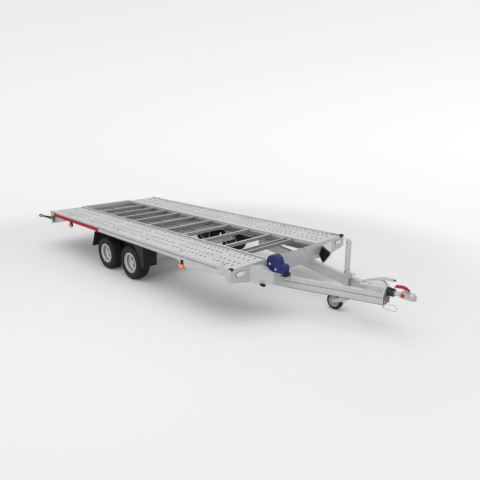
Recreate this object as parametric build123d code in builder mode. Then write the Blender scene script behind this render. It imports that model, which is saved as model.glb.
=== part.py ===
from build123d import *

import os
from math import copysign, hypot, radians, sqrt, tan

# Twin-axle car trailer: a galvanised runway deck on two rubber-torsion axles, a V drawbar with an
# overrun coupling, and a jockey wheel clamped inside the V.
# Millimetres. +X points forward to the coupling, +Y to the left, +Z up. The origin is on the ground,
# under the middle of the trailer.

os.makedirs("parts", exist_ok=True)

# ---------------------------------------------------------------- driving dimensions: deck
deck_length = 4560.0
deck_width = 2120.0
deck_height = 625.0        # top of the edge rails and of the runways' inner rims
nose_reach = 1504.0        # front of the deck to the nose of the coupling
sheet = 3.0                # galvanised sheet
runway_inner = 465.0       # half the open middle
rim_width = 20.0           # raised rim on the runway's inner edge
rim_height = 15.0          # rim above the walking surface
rail_lip = 29.0            # width of the edge rail's top lip
rail_depth = 87.0          # edge rail, top to bottom
rail_groove_drop = 26.0    # top of the rail to its groove
rail_groove_depth = 5.0
rail_groove_height = 14.0
rail_flange = 45.0         # the rail's bottom flange, which meets the cross-members' ends

# ---------------------------------------------------------------- cross-members and chassis beams
member_height = 45.0
member_width = 50.0
member_pitch_front = 420.0
member_first = 810.0       # front of the deck to the first plain cross-member
member_last = 570.0        # rear of the deck to the last cross-member
member_count_front = 6
member_count_rear = 3
trough_centre = 465.0      # front of the deck to the open trough behind it
trough_width = 110.0
trough_lip = 12.0
chassis_beam_y = 690.0     # middle of the chassis beam
chassis_beam_width = 60.0
chassis_beam_height = 142.0
chassis_lip = 15.0

# ---------------------------------------------------------------- front panel
corner_drop = 145.0        # depth of the panel at the deck's corner
corner_return = 200.0      # how far the panel wraps round the corner, at the rail's level
corner_wrap = 80.0         # how far it wraps below the rail
corner_slant = 20.0
panel_flange = 60.0
panel_lip_bottom = 50.0    # top of the deck to the lower edge of the panel's pressed lip
panel_lip_height = 47.0
panel_lip_proud = 10.0
panel_lip_inner = 170.0
panel_lip_outer = 554.0
corner_cap_length = 42.0
corner_cap_width = 30.0
corner_cap_height = 8.0

# ---------------------------------------------------------------- front gussets
gusset_outer_y = 770.0     # fold where each gusset leaves the panel
gusset_fold_drop = 15.0    # top of the deck to the top of that fold
gusset_apex_y = 560.0      # inner end of its top face, on the panel
gusset_apex_drop = 47.0
gusset_tip_y = 550.0       # front corner of its top face
gusset_tip_drop = 116.0
gusset_reach = 150.0       # panel to the gusset's front face
gusset_knee_y = 680.0      # its lower edge climbs from here to the panel
gusset_sag = 35.0          # its lower edge below the drawbar's top
gusset_arch_y = 365.0      # lower end of the arched edge, at the drawbar
gusset_lip = 28.0
gusset_wall = 4.0

# ---------------------------------------------------------------- front lamps
front_lamp_length = 127.0
front_lamp_height = 54.0
front_lamp_depth = 9.0
front_lamp_y = 918.0
front_lamp_drop = 75.0

# ---------------------------------------------------------------- rear end
lamp_board_bottom = 400.0
rear_beam_depth = 60.0
rear_lamp_length = 230.0
rear_lamp_height = 100.0
rear_lamp_depth = 35.0
rear_lamp_y = 780.0
corner_post_length = 55.0
skirt_length = 610.0
outline_overhang = 158.0   # edge of the deck to each outline lamp
outline_lamp_drop = 68.0   # top of the deck to the lamp
outline_lamp_radius = 28.0
outline_lamp_depth = 34.0
outline_base_drop = 140.0
outline_base_inset = 20.0
outline_arm_radius = 12.0

# ---------------------------------------------------------------- side markers
marker_setback = 769.0     # rear of the deck to the rear side markers
marker_front = 835.0       # front of the deck to the front side markers
marker_length = 62.0
marker_height = 34.0
marker_depth = 24.0
marker_drop = 44.0

# ---------------------------------------------------------------- drawbar
drawbar_height = 122.0
drawbar_width = 60.0
drawbar_wall = 4.0
drawbar_front = 1190.0     # front of the deck to the drawbar's front end
drawbar_front_y = 60.0     # outer face at the front end
drawbar_front_slope = 0.29 # outward run for each millimetre rearward
drawbar_rear = 1250.0      # front of the deck to the drawbar's rear end, under the deck
drawbar_groove_drop = 48.0 # drawbar's top to the groove in its outer face
drawbar_groove_depth = 4.0

# ---------------------------------------------------------------- running gear
axle_front = 2042.0        # front of the deck to the wheel centres
axle_spacing = 664.0
tyre_radius = 235.0
tyre_width = 200.0
tread_width = 168.0
rim_flange_radius = 144.0
bead_seat_radius = 127.0
rim_well_radius = 112.0
rim_wall = 4.0
wheel_face_y = 1031.0      # outer plane of the rim's flange
rim_width_over = 166.0
disc_face_y = 960.0        # outer face of the wheel disc, where the wheel bolts sit
stub_radius = 20.0
running_fit = 0.05
drum_radius = 103.0
drum_inner_y = 853.0
drum_outer_y = 905.0
hub_flange_radius = 75.0
hub_cap_radius = 31.0
hub_cap_y = 996.0
backplate_radius = 105.0
backplate_wall = 5.0
backplate_y = 842.0
arm_length = 160.0         # torsion tube to wheel centre, along the trailer
arm_thickness = 28.0
arm_inner_y = 792.0
torsion_tube_radius = 38.0
torsion_tube_z = 300.0
saddle_length = 130.0

# ---------------------------------------------------------------- mudguards
guard_gap = 46.0           # over the tyre
guard_wall = 4.0
guard_inner_y = 838.0
guard_outer_y = 1046.0
guard_front_gap = 130.0    # tyre to the flat front wall
guard_rear_gap = 157.0     # tyre to the foot of the slanted rear wall
guard_front_z = 250.0
guard_rear_z = 274.0
guard_skirt_z = 372.0
guard_cut_radius = 302.0   # round cut in the front side plate
hanger_width = 40.0
hanger_inner_y = 850.0
hanger_outer_y = 1005.0

# ---------------------------------------------------------------- wheel chock on the right
chock_rise = 83.0          # drawbar's top to the underside of the chock
chock_inner_y = 420.0
chock_width = 90.0
holder_front = 240.0
holder_rear = 155.0
holder_wall = 5.0

# ---------------------------------------------------------------- overrun coupling
shaft_rise = 20.0          # drawbar's top to the middle of the coupling shaft
shaft_radius = 22.0
housing_rear = 900.0
housing_flange_rear = 1000.0
housing_flange = 6.0
housing_half_width = 46.0
housing_rear_half_width = 24.0
housing_rise = 82.0        # drawbar's top to the top of the housing at its front
housing_rear_rise = 38.0
housing_chamfer = 16.0
lever_width = 24.0
lever_front = 1262.0
lever_rise = 149.0         # drawbar's top to the middle of the lever's straight end
lever_depth = 26.0
button_radius = 8.0
button_length = 20.0
end_plate_wall = 8.0
end_plate_half_width = 70.0
end_plate_lift = 17.0      # drawbar's underside to the end plate's lower edge
cable_lug_y = 60.0
cable_lug_width = 26.0
cable_lug_bottom = 270.0
bellows_length = 92.0
bellows_folds = 4
bellows_outer_radius = 42.0
bellows_inner_radius = 31.0
head_rear = 1345.0
head_half_width = 38.0
head_rise = 62.0           # drawbar's top to the top of the head's body
head_drop = 2.0
ball_x = 1462.0
ball_rise = 26.0           # drawbar's top to the middle of the tow ball
ball_radius = 25.4
cup_depth = 28.0
head_radius = 42.0
side_cap_x = 1380.0
side_cap_radius = 19.0
side_cap_depth = 6.0
handle_half_width = 13.0

# ---------------------------------------------------------------- jockey wheel
jockey_x = 650.0
jockey_y = 118.0
jockey_tube_radius = 30.0
jockey_tube_wall = 4.0
jockey_tube_drop = 158.0   # drawbar's top to the lower end of the tube
jockey_tube_rise = 418.0
swivel_radius = 10.0       # pin that the fork turns on
jockey_leg_bottom = 182.0
jockey_leg_length = 518.0
jockey_wheel_radius = 100.0
jockey_wheel_width = 60.0
jockey_rim_radius = 68.0
jockey_trail = 132.0
jockey_pin_radius = 8.0
fork_wall = 5.0
fork_gap = 6.0
clamp_wall = 7.0
clamp_height = 58.0
clamp_handle_radius = 7.0
clamp_handle_reach = 112.0 # middle of the tube to the end of the clamp's handle

# ---------------------------------------------------------------- places worked out from the above
deck_front = (deck_length + nose_reach + rear_lamp_depth) / 2 - nose_reach
deck_rear = deck_front - deck_length
half_width = deck_width / 2
walk_z = deck_height - rim_height
member_top = walk_z - sheet
member_bottom = member_top - member_height
member_half_length = half_width - rail_flange
chassis_beam_bottom = member_bottom - chassis_beam_height
drawbar_top = chassis_beam_bottom
drawbar_bottom = drawbar_top - drawbar_height
member_rear_start = member_first + member_pitch_front * (member_count_front - 1)
member_pitch_rear = (deck_length - member_last - member_rear_start) / member_count_rear
marker_rear = deck_length - marker_setback
outline_lamp_y = half_width + outline_overhang
outline_lamp_z = deck_height - outline_lamp_drop
shaft_z = drawbar_top + shaft_rise
ball_z = drawbar_top + ball_rise
jockey_tube_bottom = drawbar_top - jockey_tube_drop
jockey_tube_top = drawbar_top + jockey_tube_rise
jockey_leg_top = jockey_leg_bottom + jockey_leg_length
wheel_x = {"front": deck_front - axle_front, "rear": deck_front - axle_front - axle_spacing}
sides = {"right": -1, "left": 1}


def along(distance):
    """Frame x of a place that lies a distance ahead of the deck's front edge."""
    return deck_front + distance


def drawbar_outer(distance):
    """Half-width over the drawbar's outer faces, a distance ahead of the deck's front edge."""
    return drawbar_front_y + (drawbar_front - distance) * drawbar_front_slope


def sheet_section(points, thickness):
    """Add the section of a folded sheet to the open sketch. The points run along its middle."""
    near = []
    far = []
    for index, (u, v) in enumerate(points):
        runs = []
        if index > 0:
            runs.append((u - points[index - 1][0], v - points[index - 1][1]))
        if index < len(points) - 1:
            runs.append((points[index + 1][0] - u, points[index + 1][1] - v))
        normals = [(-run[1] / hypot(*run), run[0] / hypot(*run)) for run in runs]
        across = (sum(n[0] for n in normals), sum(n[1] for n in normals))
        across = (across[0] / hypot(*across), across[1] / hypot(*across))
        reach = thickness / 2 / (across[0] * normals[0][0] + across[1] * normals[0][1])
        near.append((u + across[0] * reach, v + across[1] * reach))
        far.append((u - across[0] * reach, v - across[1] * reach))
    Polygon(*near, *reversed(far), align=None)


def save(part, name):
    """Label a finished piece and write it to its own file."""
    part.label = name
    export_step(part, "parts/" + name + ".step")


# ================================================================ deck
def side_rail(side):
    """Rolled edge rail with a grooved face, and a deepened web behind the front corner."""
    half = sheet / 2
    out = half_width - half
    groove_top = deck_height - rail_groove_drop
    groove_bottom = groove_top - rail_groove_height
    bottom = deck_height - rail_depth
    path = [
        (half_width - rail_lip + half, walk_z - sheet),
        (half_width - rail_lip + half, deck_height - half),
        (out, deck_height - half),
        (out, groove_top),
        (out - rail_groove_depth, groove_top - 4),
        (out - rail_groove_depth, groove_bottom + 4),
        (out, groove_bottom),
        (out, bottom + 10),
        (out - 8, bottom + half),
        (member_half_length, bottom + half),
    ]
    with BuildPart() as rail:
        with BuildSketch(Plane.YZ.offset(deck_rear)):
            sheet_section([(side * y, z) for y, z in path], sheet)
        extrude(amount=deck_length - corner_return)
        with BuildSketch(Plane.XZ.offset(-side * half_width)):
            with BuildLine():
                Polyline(
                    (along(-marker_front - 110), bottom + 12),
                    (along(-marker_front + 75), bottom - 60),
                    (along(-corner_return), bottom - 4),
                    (along(-corner_return), bottom + 12),
                    close=True,
                )
            make_face()
        extrude(amount=side * sheet)
    return rail.part


def runway(side):
    """Walking plank with a raised box-shaped rim along its inner edge."""
    half = sheet / 2
    path = [
        (runway_inner + half, member_top),
        (runway_inner + half, deck_height - half),
        (runway_inner + rim_width - half, deck_height - half),
        (runway_inner + rim_width - half, walk_z - half),
        (half_width - rail_lip, walk_z - half),
    ]
    with BuildPart() as plank:
        with BuildSketch(Plane.YZ.offset(deck_rear)):
            sheet_section([(side * y, z) for y, z in path], sheet)
        extrude(amount=deck_length - sheet)
    return plank.part


member_places = [member_first + member_pitch_front * i for i in range(member_count_front)]
member_places += [member_places[-1] + member_pitch_rear * (i + 1) for i in range(member_count_rear)]

with BuildPart() as cross_members:
    with BuildSketch(Plane.XZ):
        for place in member_places:
            with Locations((along(-place), member_top - member_height / 2)):
                Rectangle(member_width, member_height)
            with Locations((along(-place) - sheet, member_top - member_height / 2)):
                Rectangle(member_width, member_height - 2 * sheet, mode=Mode.SUBTRACT)
        with Locations((along(-trough_centre), member_top - member_height / 2)):
            Rectangle(trough_width, member_height)
        with Locations((along(-trough_centre), member_top - member_height / 2 + sheet)):
            Rectangle(trough_width - 2 * sheet, member_height, mode=Mode.SUBTRACT)
        lip_place = (trough_width - trough_lip) / 2
        for lip_x in (along(-trough_centre) - lip_place, along(-trough_centre) + lip_place):
            with Locations((lip_x, member_top - sheet / 2)):
                Rectangle(trough_lip, sheet)
    extrude(amount=member_half_length, both=True)
save(cross_members.part, "cross_members")

with BuildPart() as chassis_beams:
    with BuildSketch(Plane.YZ.offset(deck_rear + sheet)):
        for side in sides.values():
            mid = chassis_beam_bottom + chassis_beam_height / 2
            with Locations((side * chassis_beam_y, mid)):
                Rectangle(chassis_beam_width, chassis_beam_height)
                Rectangle(
                    chassis_beam_width - 2 * sheet,
                    chassis_beam_height - 2 * sheet,
                    mode=Mode.SUBTRACT,
                )
            with Locations((side * (chassis_beam_y - chassis_beam_width / 2), mid)):
                Rectangle(
                    3 * sheet,
                    chassis_beam_height - 2 * chassis_lip,
                    mode=Mode.SUBTRACT,
                )
    extrude(amount=deck_length - 2 * sheet)
save(chassis_beams.part, "chassis_beams")

for name, side in sides.items():
    save(side_rail(side), "side_rail_" + name)
    save(runway(side), "runway_" + name)

# ================================================================ front panel and gussets
corner_bottom = deck_height - corner_drop
with BuildPart() as front_panel:
    with BuildSketch(Plane.YZ.offset(deck_front)):
        with BuildLine():
            Polyline(
                (-half_width, deck_height),
                (-half_width, corner_bottom),
                (-gusset_outer_y, drawbar_top),
                (gusset_outer_y, drawbar_top),
                (half_width, corner_bottom),
                (half_width, deck_height),
                close=True,
            )
        make_face()
    extrude(amount=-sheet)
    with BuildSketch(Plane.XY.offset(drawbar_top)):
        with Locations((deck_front - panel_flange / 2, 0)):
            Rectangle(panel_flange, 2 * (chassis_beam_y - chassis_beam_width / 2))
    extrude(amount=sheet)
    lip_bottom = deck_height - panel_lip_bottom
    for side in sides.values():
        with BuildSketch(Plane.YZ.offset(deck_front)):
            with BuildLine():
                Polyline(
                    (side * panel_lip_inner, lip_bottom + panel_lip_height),
                    (side * panel_lip_outer, lip_bottom + panel_lip_height),
                    (side * panel_lip_outer, lip_bottom),
                    (side * (panel_lip_inner + 28), lip_bottom),
                    close=True,
                )
            make_face()
        extrude(amount=panel_lip_proud)
        with BuildSketch(Plane.XZ.offset(-side * half_width)):
            with BuildLine():
                Polyline(
                    (deck_front, deck_height),
                    (deck_front, corner_bottom),
                    (along(corner_slant - corner_wrap), corner_bottom),
                    (along(-corner_wrap), corner_bottom + corner_slant),
                    (along(-corner_wrap), deck_height - rail_depth - 4),
                    (along(-corner_return), deck_height - rail_depth - 4),
                    (along(-corner_return), deck_height),
                    close=True,
                )
            make_face()
        extrude(amount=side * sheet)
        with BuildSketch(Plane.XY.offset(deck_height)):
            with Locations((deck_front - corner_return / 2, side * (half_width - rail_lip / 2))):
                Rectangle(corner_return, rail_lip)
        extrude(amount=-sheet)
save(front_panel.part, "front_panel")


with BuildPart() as front_lamps:
    with BuildSketch(Plane.YZ.offset(deck_front)):
        with Locations(*[(s * front_lamp_y, deck_height - front_lamp_drop) for s in sides.values()]):
            SlotOverall(front_lamp_length, front_lamp_height)
    extrude(amount=front_lamp_depth)
save(front_lamps.part, "front_lamps")


def drawbar_core(side):
    """Plain box that fills one drawbar beam, to cut its neighbours to its outer face."""
    middle = drawbar_outer(drawbar_front) - drawbar_width / 2
    length = (drawbar_front + drawbar_rear) * hypot(1, drawbar_front_slope)
    with BuildPart() as core:
        with BuildSketch(Plane.YZ.offset(along(drawbar_front))):
            with Locations((side * middle, drawbar_top - drawbar_height / 2)):
                Rectangle(drawbar_width, drawbar_height)
        extrude(amount=length, dir=(-1, side * drawbar_front_slope, 0))
    return core.part


def gusset(side):
    """Folded sheet horn that ties the panel to a drawbar beam, open behind and below."""
    bottom = drawbar_top - gusset_sag
    tip_z = deck_height - gusset_tip_drop
    rise = (gusset_outer_y - gusset_knee_y) / (gusset_outer_y - gusset_tip_y)
    fold_top = Vector(deck_front, side * gusset_outer_y, deck_height - gusset_fold_drop)
    fold_bottom = Vector(deck_front, side * gusset_outer_y, drawbar_top)
    knee = Vector(along(gusset_reach * rise), side * gusset_knee_y, bottom)
    apex = Vector(deck_front, side * gusset_apex_y, deck_height - gusset_apex_drop)
    tip = Vector(along(gusset_reach), side * gusset_tip_y, tip_z)
    below_tip = Vector(tip.X, tip.Y, bottom)
    drop = Vector(0, 0, -gusset_lip)
    core = drawbar_core(side)
    with BuildPart() as horn:
        inner = side * (gusset_arch_y - drawbar_width / 2)
        for inset, front, back, mode in (
            (0, 0, gusset_lip, Mode.ADD),
            (gusset_wall, gusset_wall, 2 * gusset_lip, Mode.SUBTRACT),
        ):
            edge = side * (gusset_tip_y - inset)
            foot = bottom - 10 * inset
            with BuildSketch(Plane.YZ.offset(along(gusset_reach) - front)):
                with BuildLine():
                    ThreePointArc(
                        (edge, tip_z - inset),
                        (side * (gusset_tip_y + gusset_arch_y) / 2, tip_z - 26 - inset),
                        (side * gusset_arch_y, drawbar_top - inset),
                    )
                    Polyline(
                        (side * gusset_arch_y, drawbar_top - inset),
                        (inner, drawbar_top - inset),
                        (inner, foot),
                        (edge, foot),
                        (edge, tip_z - inset),
                    )
                make_face()
            extrude(amount=front - back, mode=mode)
        for corners, inside in (
            ((fold_top, fold_bottom, knee, below_tip, tip), apex + drop),
            ((fold_top, tip, apex), knee),
            ((apex, tip, tip + drop, apex + drop), fold_bottom),
        ):
            across = (corners[1] - corners[0]).cross(corners[2] - corners[0])
            base = Plane(origin=corners[0], x_dir=corners[1] - corners[0], z_dir=across)
            flat = [base.to_local_coords(corner) for corner in corners]
            with BuildSketch(base):
                Polygon(*[(point.X, point.Y) for point in flat], align=None)
            extrude(amount=copysign(gusset_wall, base.to_local_coords(inside).Z))
        with BuildSketch(Plane.YZ.offset(deck_front)):
            Rectangle(2 * deck_width, 2 * deck_height)
        extrude(amount=-gusset_reach, mode=Mode.SUBTRACT)
        add(core, mode=Mode.SUBTRACT)
    return horn.part


for name, side in sides.items():
    save(gusset(side), "front_gusset_" + name)

with BuildPart() as corner_caps:
    for side in sides.values():
        with BuildSketch(Plane.XY.offset(deck_height)):
            with Locations((deck_front - corner_cap_length / 2, side * (half_width - corner_cap_width / 2))):
                RectangleRounded(corner_cap_length, corner_cap_width, corner_cap_width / 4)
        extrude(amount=corner_cap_height)
save(corner_caps.part, "corner_caps")


# ================================================================ drawbar
def drawbar_beam(side):
    """Box beam of the V drawbar, with a groove rolled along its outer face."""
    outer = drawbar_outer(drawbar_front)
    groove = drawbar_top - drawbar_groove_drop
    length = (drawbar_front + drawbar_rear) * hypot(1, drawbar_front_slope)
    with BuildPart() as beam:
        for inset, mode in ((0, Mode.ADD), (drawbar_wall, Mode.SUBTRACT)):
            face = outer - inset
            back = outer - drawbar_width + inset
            floor = face - drawbar_groove_depth
            outline = [
                (back, drawbar_bottom + inset),
                (face, drawbar_bottom + inset),
                (face, groove - 6 - inset),
                (floor, groove - 2 - inset),
                (floor, groove + 2 + inset),
                (face, groove + 6 + inset),
                (face, drawbar_top - inset),
                (back, drawbar_top - inset),
            ]
            with BuildSketch(Plane.YZ.offset(along(drawbar_front))):
                Polygon(*[(side * y, z) for y, z in outline], align=None)
            extrude(amount=length, dir=(-1, side * drawbar_front_slope, 0), mode=mode)
    return beam.part


for name, side in sides.items():
    save(drawbar_beam(side), "drawbar_beam_" + name)


# ================================================================ overrun coupling
def housing_body():
    """Solid of the overrun housing: a long chamfered body that swells towards its front."""
    with BuildPart() as body:
        for distance, half, rise in (
            (housing_rear, housing_rear_half_width, housing_rear_rise),
            (drawbar_front, housing_half_width, housing_rise),
        ):
            top = drawbar_top + rise
            corner = min(housing_chamfer, half / 2)
            with BuildSketch(Plane.YZ.offset(along(distance))):
                Polygon(
                    (-half, drawbar_top),
                    (-half, top - corner),
                    (corner - half, top),
                    (half - corner, top),
                    (half, top - corner),
                    (half, drawbar_top),
                    align=None,
                )
        loft(ruled=True)
    return body.part


housing_solid = housing_body()
with BuildPart() as coupling_housing:
    with BuildSketch(Plane.XY.offset(drawbar_top)):
        with BuildLine():
            Polyline(
                (along(housing_flange_rear), -drawbar_outer(housing_flange_rear)),
                (along(drawbar_front), -drawbar_outer(drawbar_front)),
                (along(drawbar_front), drawbar_outer(drawbar_front)),
                (along(housing_flange_rear), drawbar_outer(housing_flange_rear)),
                close=True,
            )
        make_face()
    extrude(amount=housing_flange)
    add(housing_solid)
save(coupling_housing.part, "coupling_housing")

end_plate_front = drawbar_front + end_plate_wall
with BuildPart() as end_plate:
    with BuildSketch(Plane.YZ.offset(along(drawbar_front))):
        with BuildLine():
            Polyline(
                (-end_plate_half_width, drawbar_bottom + end_plate_lift),
                (end_plate_half_width, drawbar_bottom + end_plate_lift),
                (end_plate_half_width, drawbar_top + housing_chamfer),
                (housing_half_width - housing_chamfer, drawbar_top + housing_rise),
                (housing_chamfer - housing_half_width, drawbar_top + housing_rise),
                (-end_plate_half_width, drawbar_top + housing_chamfer),
                close=True,
            )
        make_face()
        with Locations((-cable_lug_y, (cable_lug_bottom + drawbar_top) / 2)):
            Rectangle(cable_lug_width, drawbar_top - cable_lug_bottom)
    extrude(amount=end_plate_wall)
save(end_plate.part, "drawbar_end_plate")

with BuildPart() as shaft:
    with BuildSketch(Plane.YZ.offset(along(end_plate_front))):
        with Locations((0, shaft_z)):
            Circle(shaft_radius)
    extrude(amount=head_rear - end_plate_front)
save(shaft.part, "coupling_shaft")

with BuildPart() as bellows:
    fold = bellows_length / bellows_folds
    with BuildSketch(Plane.XZ):
        with BuildLine():
            points = [(along(end_plate_front), shaft_z + shaft_radius)]
            for index in range(bellows_folds):
                start = along(end_plate_front) + fold * index
                points.append((start, shaft_z + bellows_inner_radius))
                points.append((start + fold * 0.4, shaft_z + bellows_outer_radius))
                points.append((start + fold * 0.7, shaft_z + bellows_outer_radius))
            points.append((along(end_plate_front) + bellows_length, shaft_z + bellows_inner_radius))
            points.append((along(end_plate_front) + bellows_length, shaft_z + shaft_radius))
            Polyline(*points, close=True)
        make_face()
    revolve(axis=Axis((0, 0, shaft_z), (1, 0, 0)))
save(bellows.part, "coupling_bellows")

head_top = drawbar_top + head_rise
head_bottom = drawbar_top - head_drop
with BuildPart() as head:
    with BuildSketch(Plane.XZ):
        with BuildLine():
            Polyline(
                (along(head_rear), head_bottom),
                (along(head_rear), head_top - 12),
                (along(head_rear) + 12, head_top),
                (along(ball_x) - 50, head_top),
                (along(ball_x) - 10, shaft_z + shaft_radius),
                (along(ball_x) - 10, head_bottom + 8),
                (along(ball_x) - 40, head_bottom),
                close=True,
            )
        make_face()
    extrude(amount=head_half_width, both=True)
    with BuildSketch(Plane.XZ):
        with BuildLine():
            dome = CenterArc((along(ball_x), ball_z), head_radius, 0, 90)
            Line(dome @ 1, (along(ball_x), ball_z - cup_depth))
            Line((along(ball_x), ball_z - cup_depth), (along(ball_x) + head_radius, ball_z - cup_depth))
            Line((along(ball_x) + head_radius, ball_z - cup_depth), dome @ 0)
        make_face()
    revolve(axis=Axis((along(ball_x), 0, 0), (0, 0, 1)))
    with BuildSketch(Plane.XZ):
        with BuildLine():
            Polyline(
                (along(ball_x) - 76, head_top - 4),
                (along(ball_x) - 70, head_top + 20),
                (along(ball_x) - 46, head_top + 28),
                (along(ball_x) - 36, head_top + 20),
                (along(ball_x) - 6, ball_z + head_radius - 4),
                close=True,
            )
        make_face()
    extrude(amount=handle_half_width / 2, both=True)
    with BuildSketch(Plane.XZ):
        with BuildLine():
            cup = CenterArc((along(ball_x), ball_z), ball_radius, 0, 90)
            Line(cup @ 1, (along(ball_x), head_bottom - 1))
            Line((along(ball_x), head_bottom - 1), (along(ball_x) + ball_radius, head_bottom - 1))
            Line((along(ball_x) + ball_radius, head_bottom - 1), cup @ 0)
        make_face()
    revolve(axis=Axis((along(ball_x), 0, 0), (0, 0, 1)), mode=Mode.SUBTRACT)
save(head.part, "coupling_head")

with BuildPart() as handle:
    with BuildSketch(Plane.XZ):
        with BuildLine():
            Polyline(
                (along(ball_x) - 187, head_top + 20),
                (along(ball_x) - 172, head_top + 47),
                (along(ball_x) - 102, head_top + 56),
                (along(ball_x) - 62, head_top + 45),
                (along(ball_x) - 46, head_top + 28),
                (along(ball_x) - 70, head_top + 20),
                (along(ball_x) - 102, head_top + 28),
                (along(ball_x) - 162, head_top + 20),
                close=True,
            )
        make_face()
    extrude(amount=handle_half_width, both=True)
save(handle.part, "coupling_handle")

with BuildPart() as caps:
    for side in sides.values():
        with BuildSketch(Plane.XZ.offset(-side * head_half_width)):
            with Locations((along(side_cap_x), shaft_z + 10)):
                Circle(side_cap_radius)
        extrude(amount=-side * side_cap_depth)
save(caps.part, "coupling_side_caps")

lever_z = drawbar_top + lever_rise
with BuildPart() as lever:
    with BuildSketch(Plane.XZ):
        with BuildLine():
            low = ThreePointArc(
                (along(housing_rear) + 18, drawbar_top + housing_rear_rise / 2),
                (along(housing_rear) + 150, lever_z - 56),
                (along(lever_front) - 110, lever_z - lever_depth / 2 - 10),
            )
            Polyline(
                low @ 1,
                (along(lever_front), lever_z - lever_depth / 2),
                (along(lever_front), lever_z + lever_depth / 2),
                (along(lever_front) - 120, lever_z + lever_depth / 2 - 6),
            )
            high = ThreePointArc(
                (along(lever_front) - 120, lever_z + lever_depth / 2 - 6),
                (along(housing_rear) + 110, lever_z - 42),
                (along(housing_rear) + 6, drawbar_top + housing_rear_rise + 22),
            )
            Line(high @ 1, low @ 0)
        make_face()
    extrude(amount=lever_width / 2, both=True)
    add(housing_solid, mode=Mode.SUBTRACT)
save(lever.part, "handbrake_lever")

with BuildPart() as lever_button:
    with BuildSketch(Plane.YZ.offset(along(lever_front))):
        with Locations((0, lever_z)):
            Circle(button_radius)
    extrude(amount=button_length)
save(lever_button.part, "handbrake_button")

# ================================================================ running gear
def axle(place):
    """Six-sided torsion tube with a saddle under each chassis beam."""
    x = wheel_x[place] + arm_length
    with BuildPart() as tube:
        with BuildSketch(Plane.XZ):
            with Locations((x, torsion_tube_z)):
                RegularPolygon(torsion_tube_radius, 6)
        extrude(amount=arm_inner_y, both=True)
        for side in sides.values():
            saddle_edge = side * (chassis_beam_y + chassis_beam_width / 2)
            with BuildSketch(Plane.XZ.offset(-saddle_edge)):
                with BuildLine():
                    Polyline(
                        (x - torsion_tube_radius, torsion_tube_z - 20),
                        (x + torsion_tube_radius, torsion_tube_z - 20),
                        (x + saddle_length / 2, chassis_beam_bottom),
                        (x - saddle_length / 2, chassis_beam_bottom),
                        close=True,
                    )
                make_face()
            extrude(amount=side * chassis_beam_width)
    return tube.part


def swing_arms(place):
    """Trailing arms and stub axles of one axle, with the brake backplates on them."""
    x = wheel_x[place]
    with BuildPart() as arms:
        for side in sides.values():
            with BuildSketch(Plane.XZ.offset(-side * arm_inner_y)):
                with Locations((x, tyre_radius)):
                    Circle(34)
                with Locations((x + arm_length, torsion_tube_z)):
                    Circle(40)
                with BuildLine():
                    Polyline(
                        (x, tyre_radius - 32),
                        (x + arm_length, torsion_tube_z - 38),
                        (x + arm_length, torsion_tube_z + 38),
                        (x, tyre_radius + 32),
                        close=True,
                    )
                make_face()
            extrude(amount=-side * arm_thickness)
            with BuildSketch(Plane.XZ.offset(-side * (arm_inner_y + arm_thickness))):
                with Locations((x, tyre_radius)):
                    Circle(30)
            extrude(amount=-side * (backplate_y - arm_inner_y - arm_thickness))
            with BuildSketch(Plane.XZ.offset(-side * backplate_y)):
                with Locations((x, tyre_radius)):
                    Circle(backplate_radius)
            extrude(amount=-side * backplate_wall)
            with BuildSketch(Plane.XZ.offset(-side * (backplate_y + backplate_wall))):
                with Locations((x, tyre_radius)):
                    Circle(stub_radius)
            extrude(amount=-side * (disc_face_y - backplate_y - backplate_wall))
    return arms.part


def wheel_axis(place):
    """Axis that a wheel turns on."""
    return Axis((wheel_x[place], 0, tyre_radius), (0, 1, 0))


def hub_drum(place, side):
    """Brake drum, hub flange and grease cap, bored for the stub axle."""
    x = wheel_x[place]
    bore = stub_radius + running_fit
    cap_inner = disc_face_y + 1
    with BuildPart() as drum:
        with BuildSketch(Plane.XY.offset(tyre_radius)):
            with BuildLine():
                Polyline(
                    (x + bore, side * drum_inner_y),
                    (x + drum_radius, side * drum_inner_y),
                    (x + drum_radius, side * drum_outer_y),
                    (x + hub_flange_radius, side * (drum_outer_y + 12)),
                    (x + hub_flange_radius, side * (disc_face_y - rim_wall)),
                    (x + hub_cap_radius, side * (disc_face_y - rim_wall)),
                    (x + hub_cap_radius, side * (hub_cap_y - 8)),
                    (x + hub_cap_radius - 8, side * hub_cap_y),
                    (x, side * hub_cap_y),
                    (x, side * cap_inner),
                    (x + bore, side * cap_inner),
                    close=True,
                )
            make_face()
        revolve(axis=wheel_axis(place))
    return drum.part


def wheel_rim(place, side):
    """Stepped steel rim: flanges, bead seats, drop centre and a dished disc."""
    x = wheel_x[place]
    inner = wheel_face_y - rim_width_over
    half = rim_wall / 2
    seat = bead_seat_radius - half
    well = rim_well_radius - half
    barrel = [
        (rim_flange_radius - half, inner + half),
        (seat, inner + half),
        (seat, inner + 34),
        (well, inner + 42),
        (well, wheel_face_y - 48),
        (seat, wheel_face_y - 40),
        (seat, wheel_face_y - half),
        (rim_flange_radius - half, wheel_face_y - half),
    ]
    disc = disc_face_y - half
    with BuildPart() as rim:
        with BuildSketch(Plane.XY.offset(tyre_radius)):
            sheet_section([(x + r, side * y) for r, y in barrel], rim_wall)
        revolve(axis=wheel_axis(place))
        with BuildSketch(Plane.XY.offset(tyre_radius)):
            sheet_section(
                [
                    (x + hub_cap_radius + half, side * disc),
                    (x + hub_flange_radius + 4, side * disc),
                    (x + well - 6, side * (disc + 14)),
                    (x + well, side * (disc + 14)),
                ],
                rim_wall,
            )
        revolve(axis=wheel_axis(place))
    return rim.part


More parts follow.
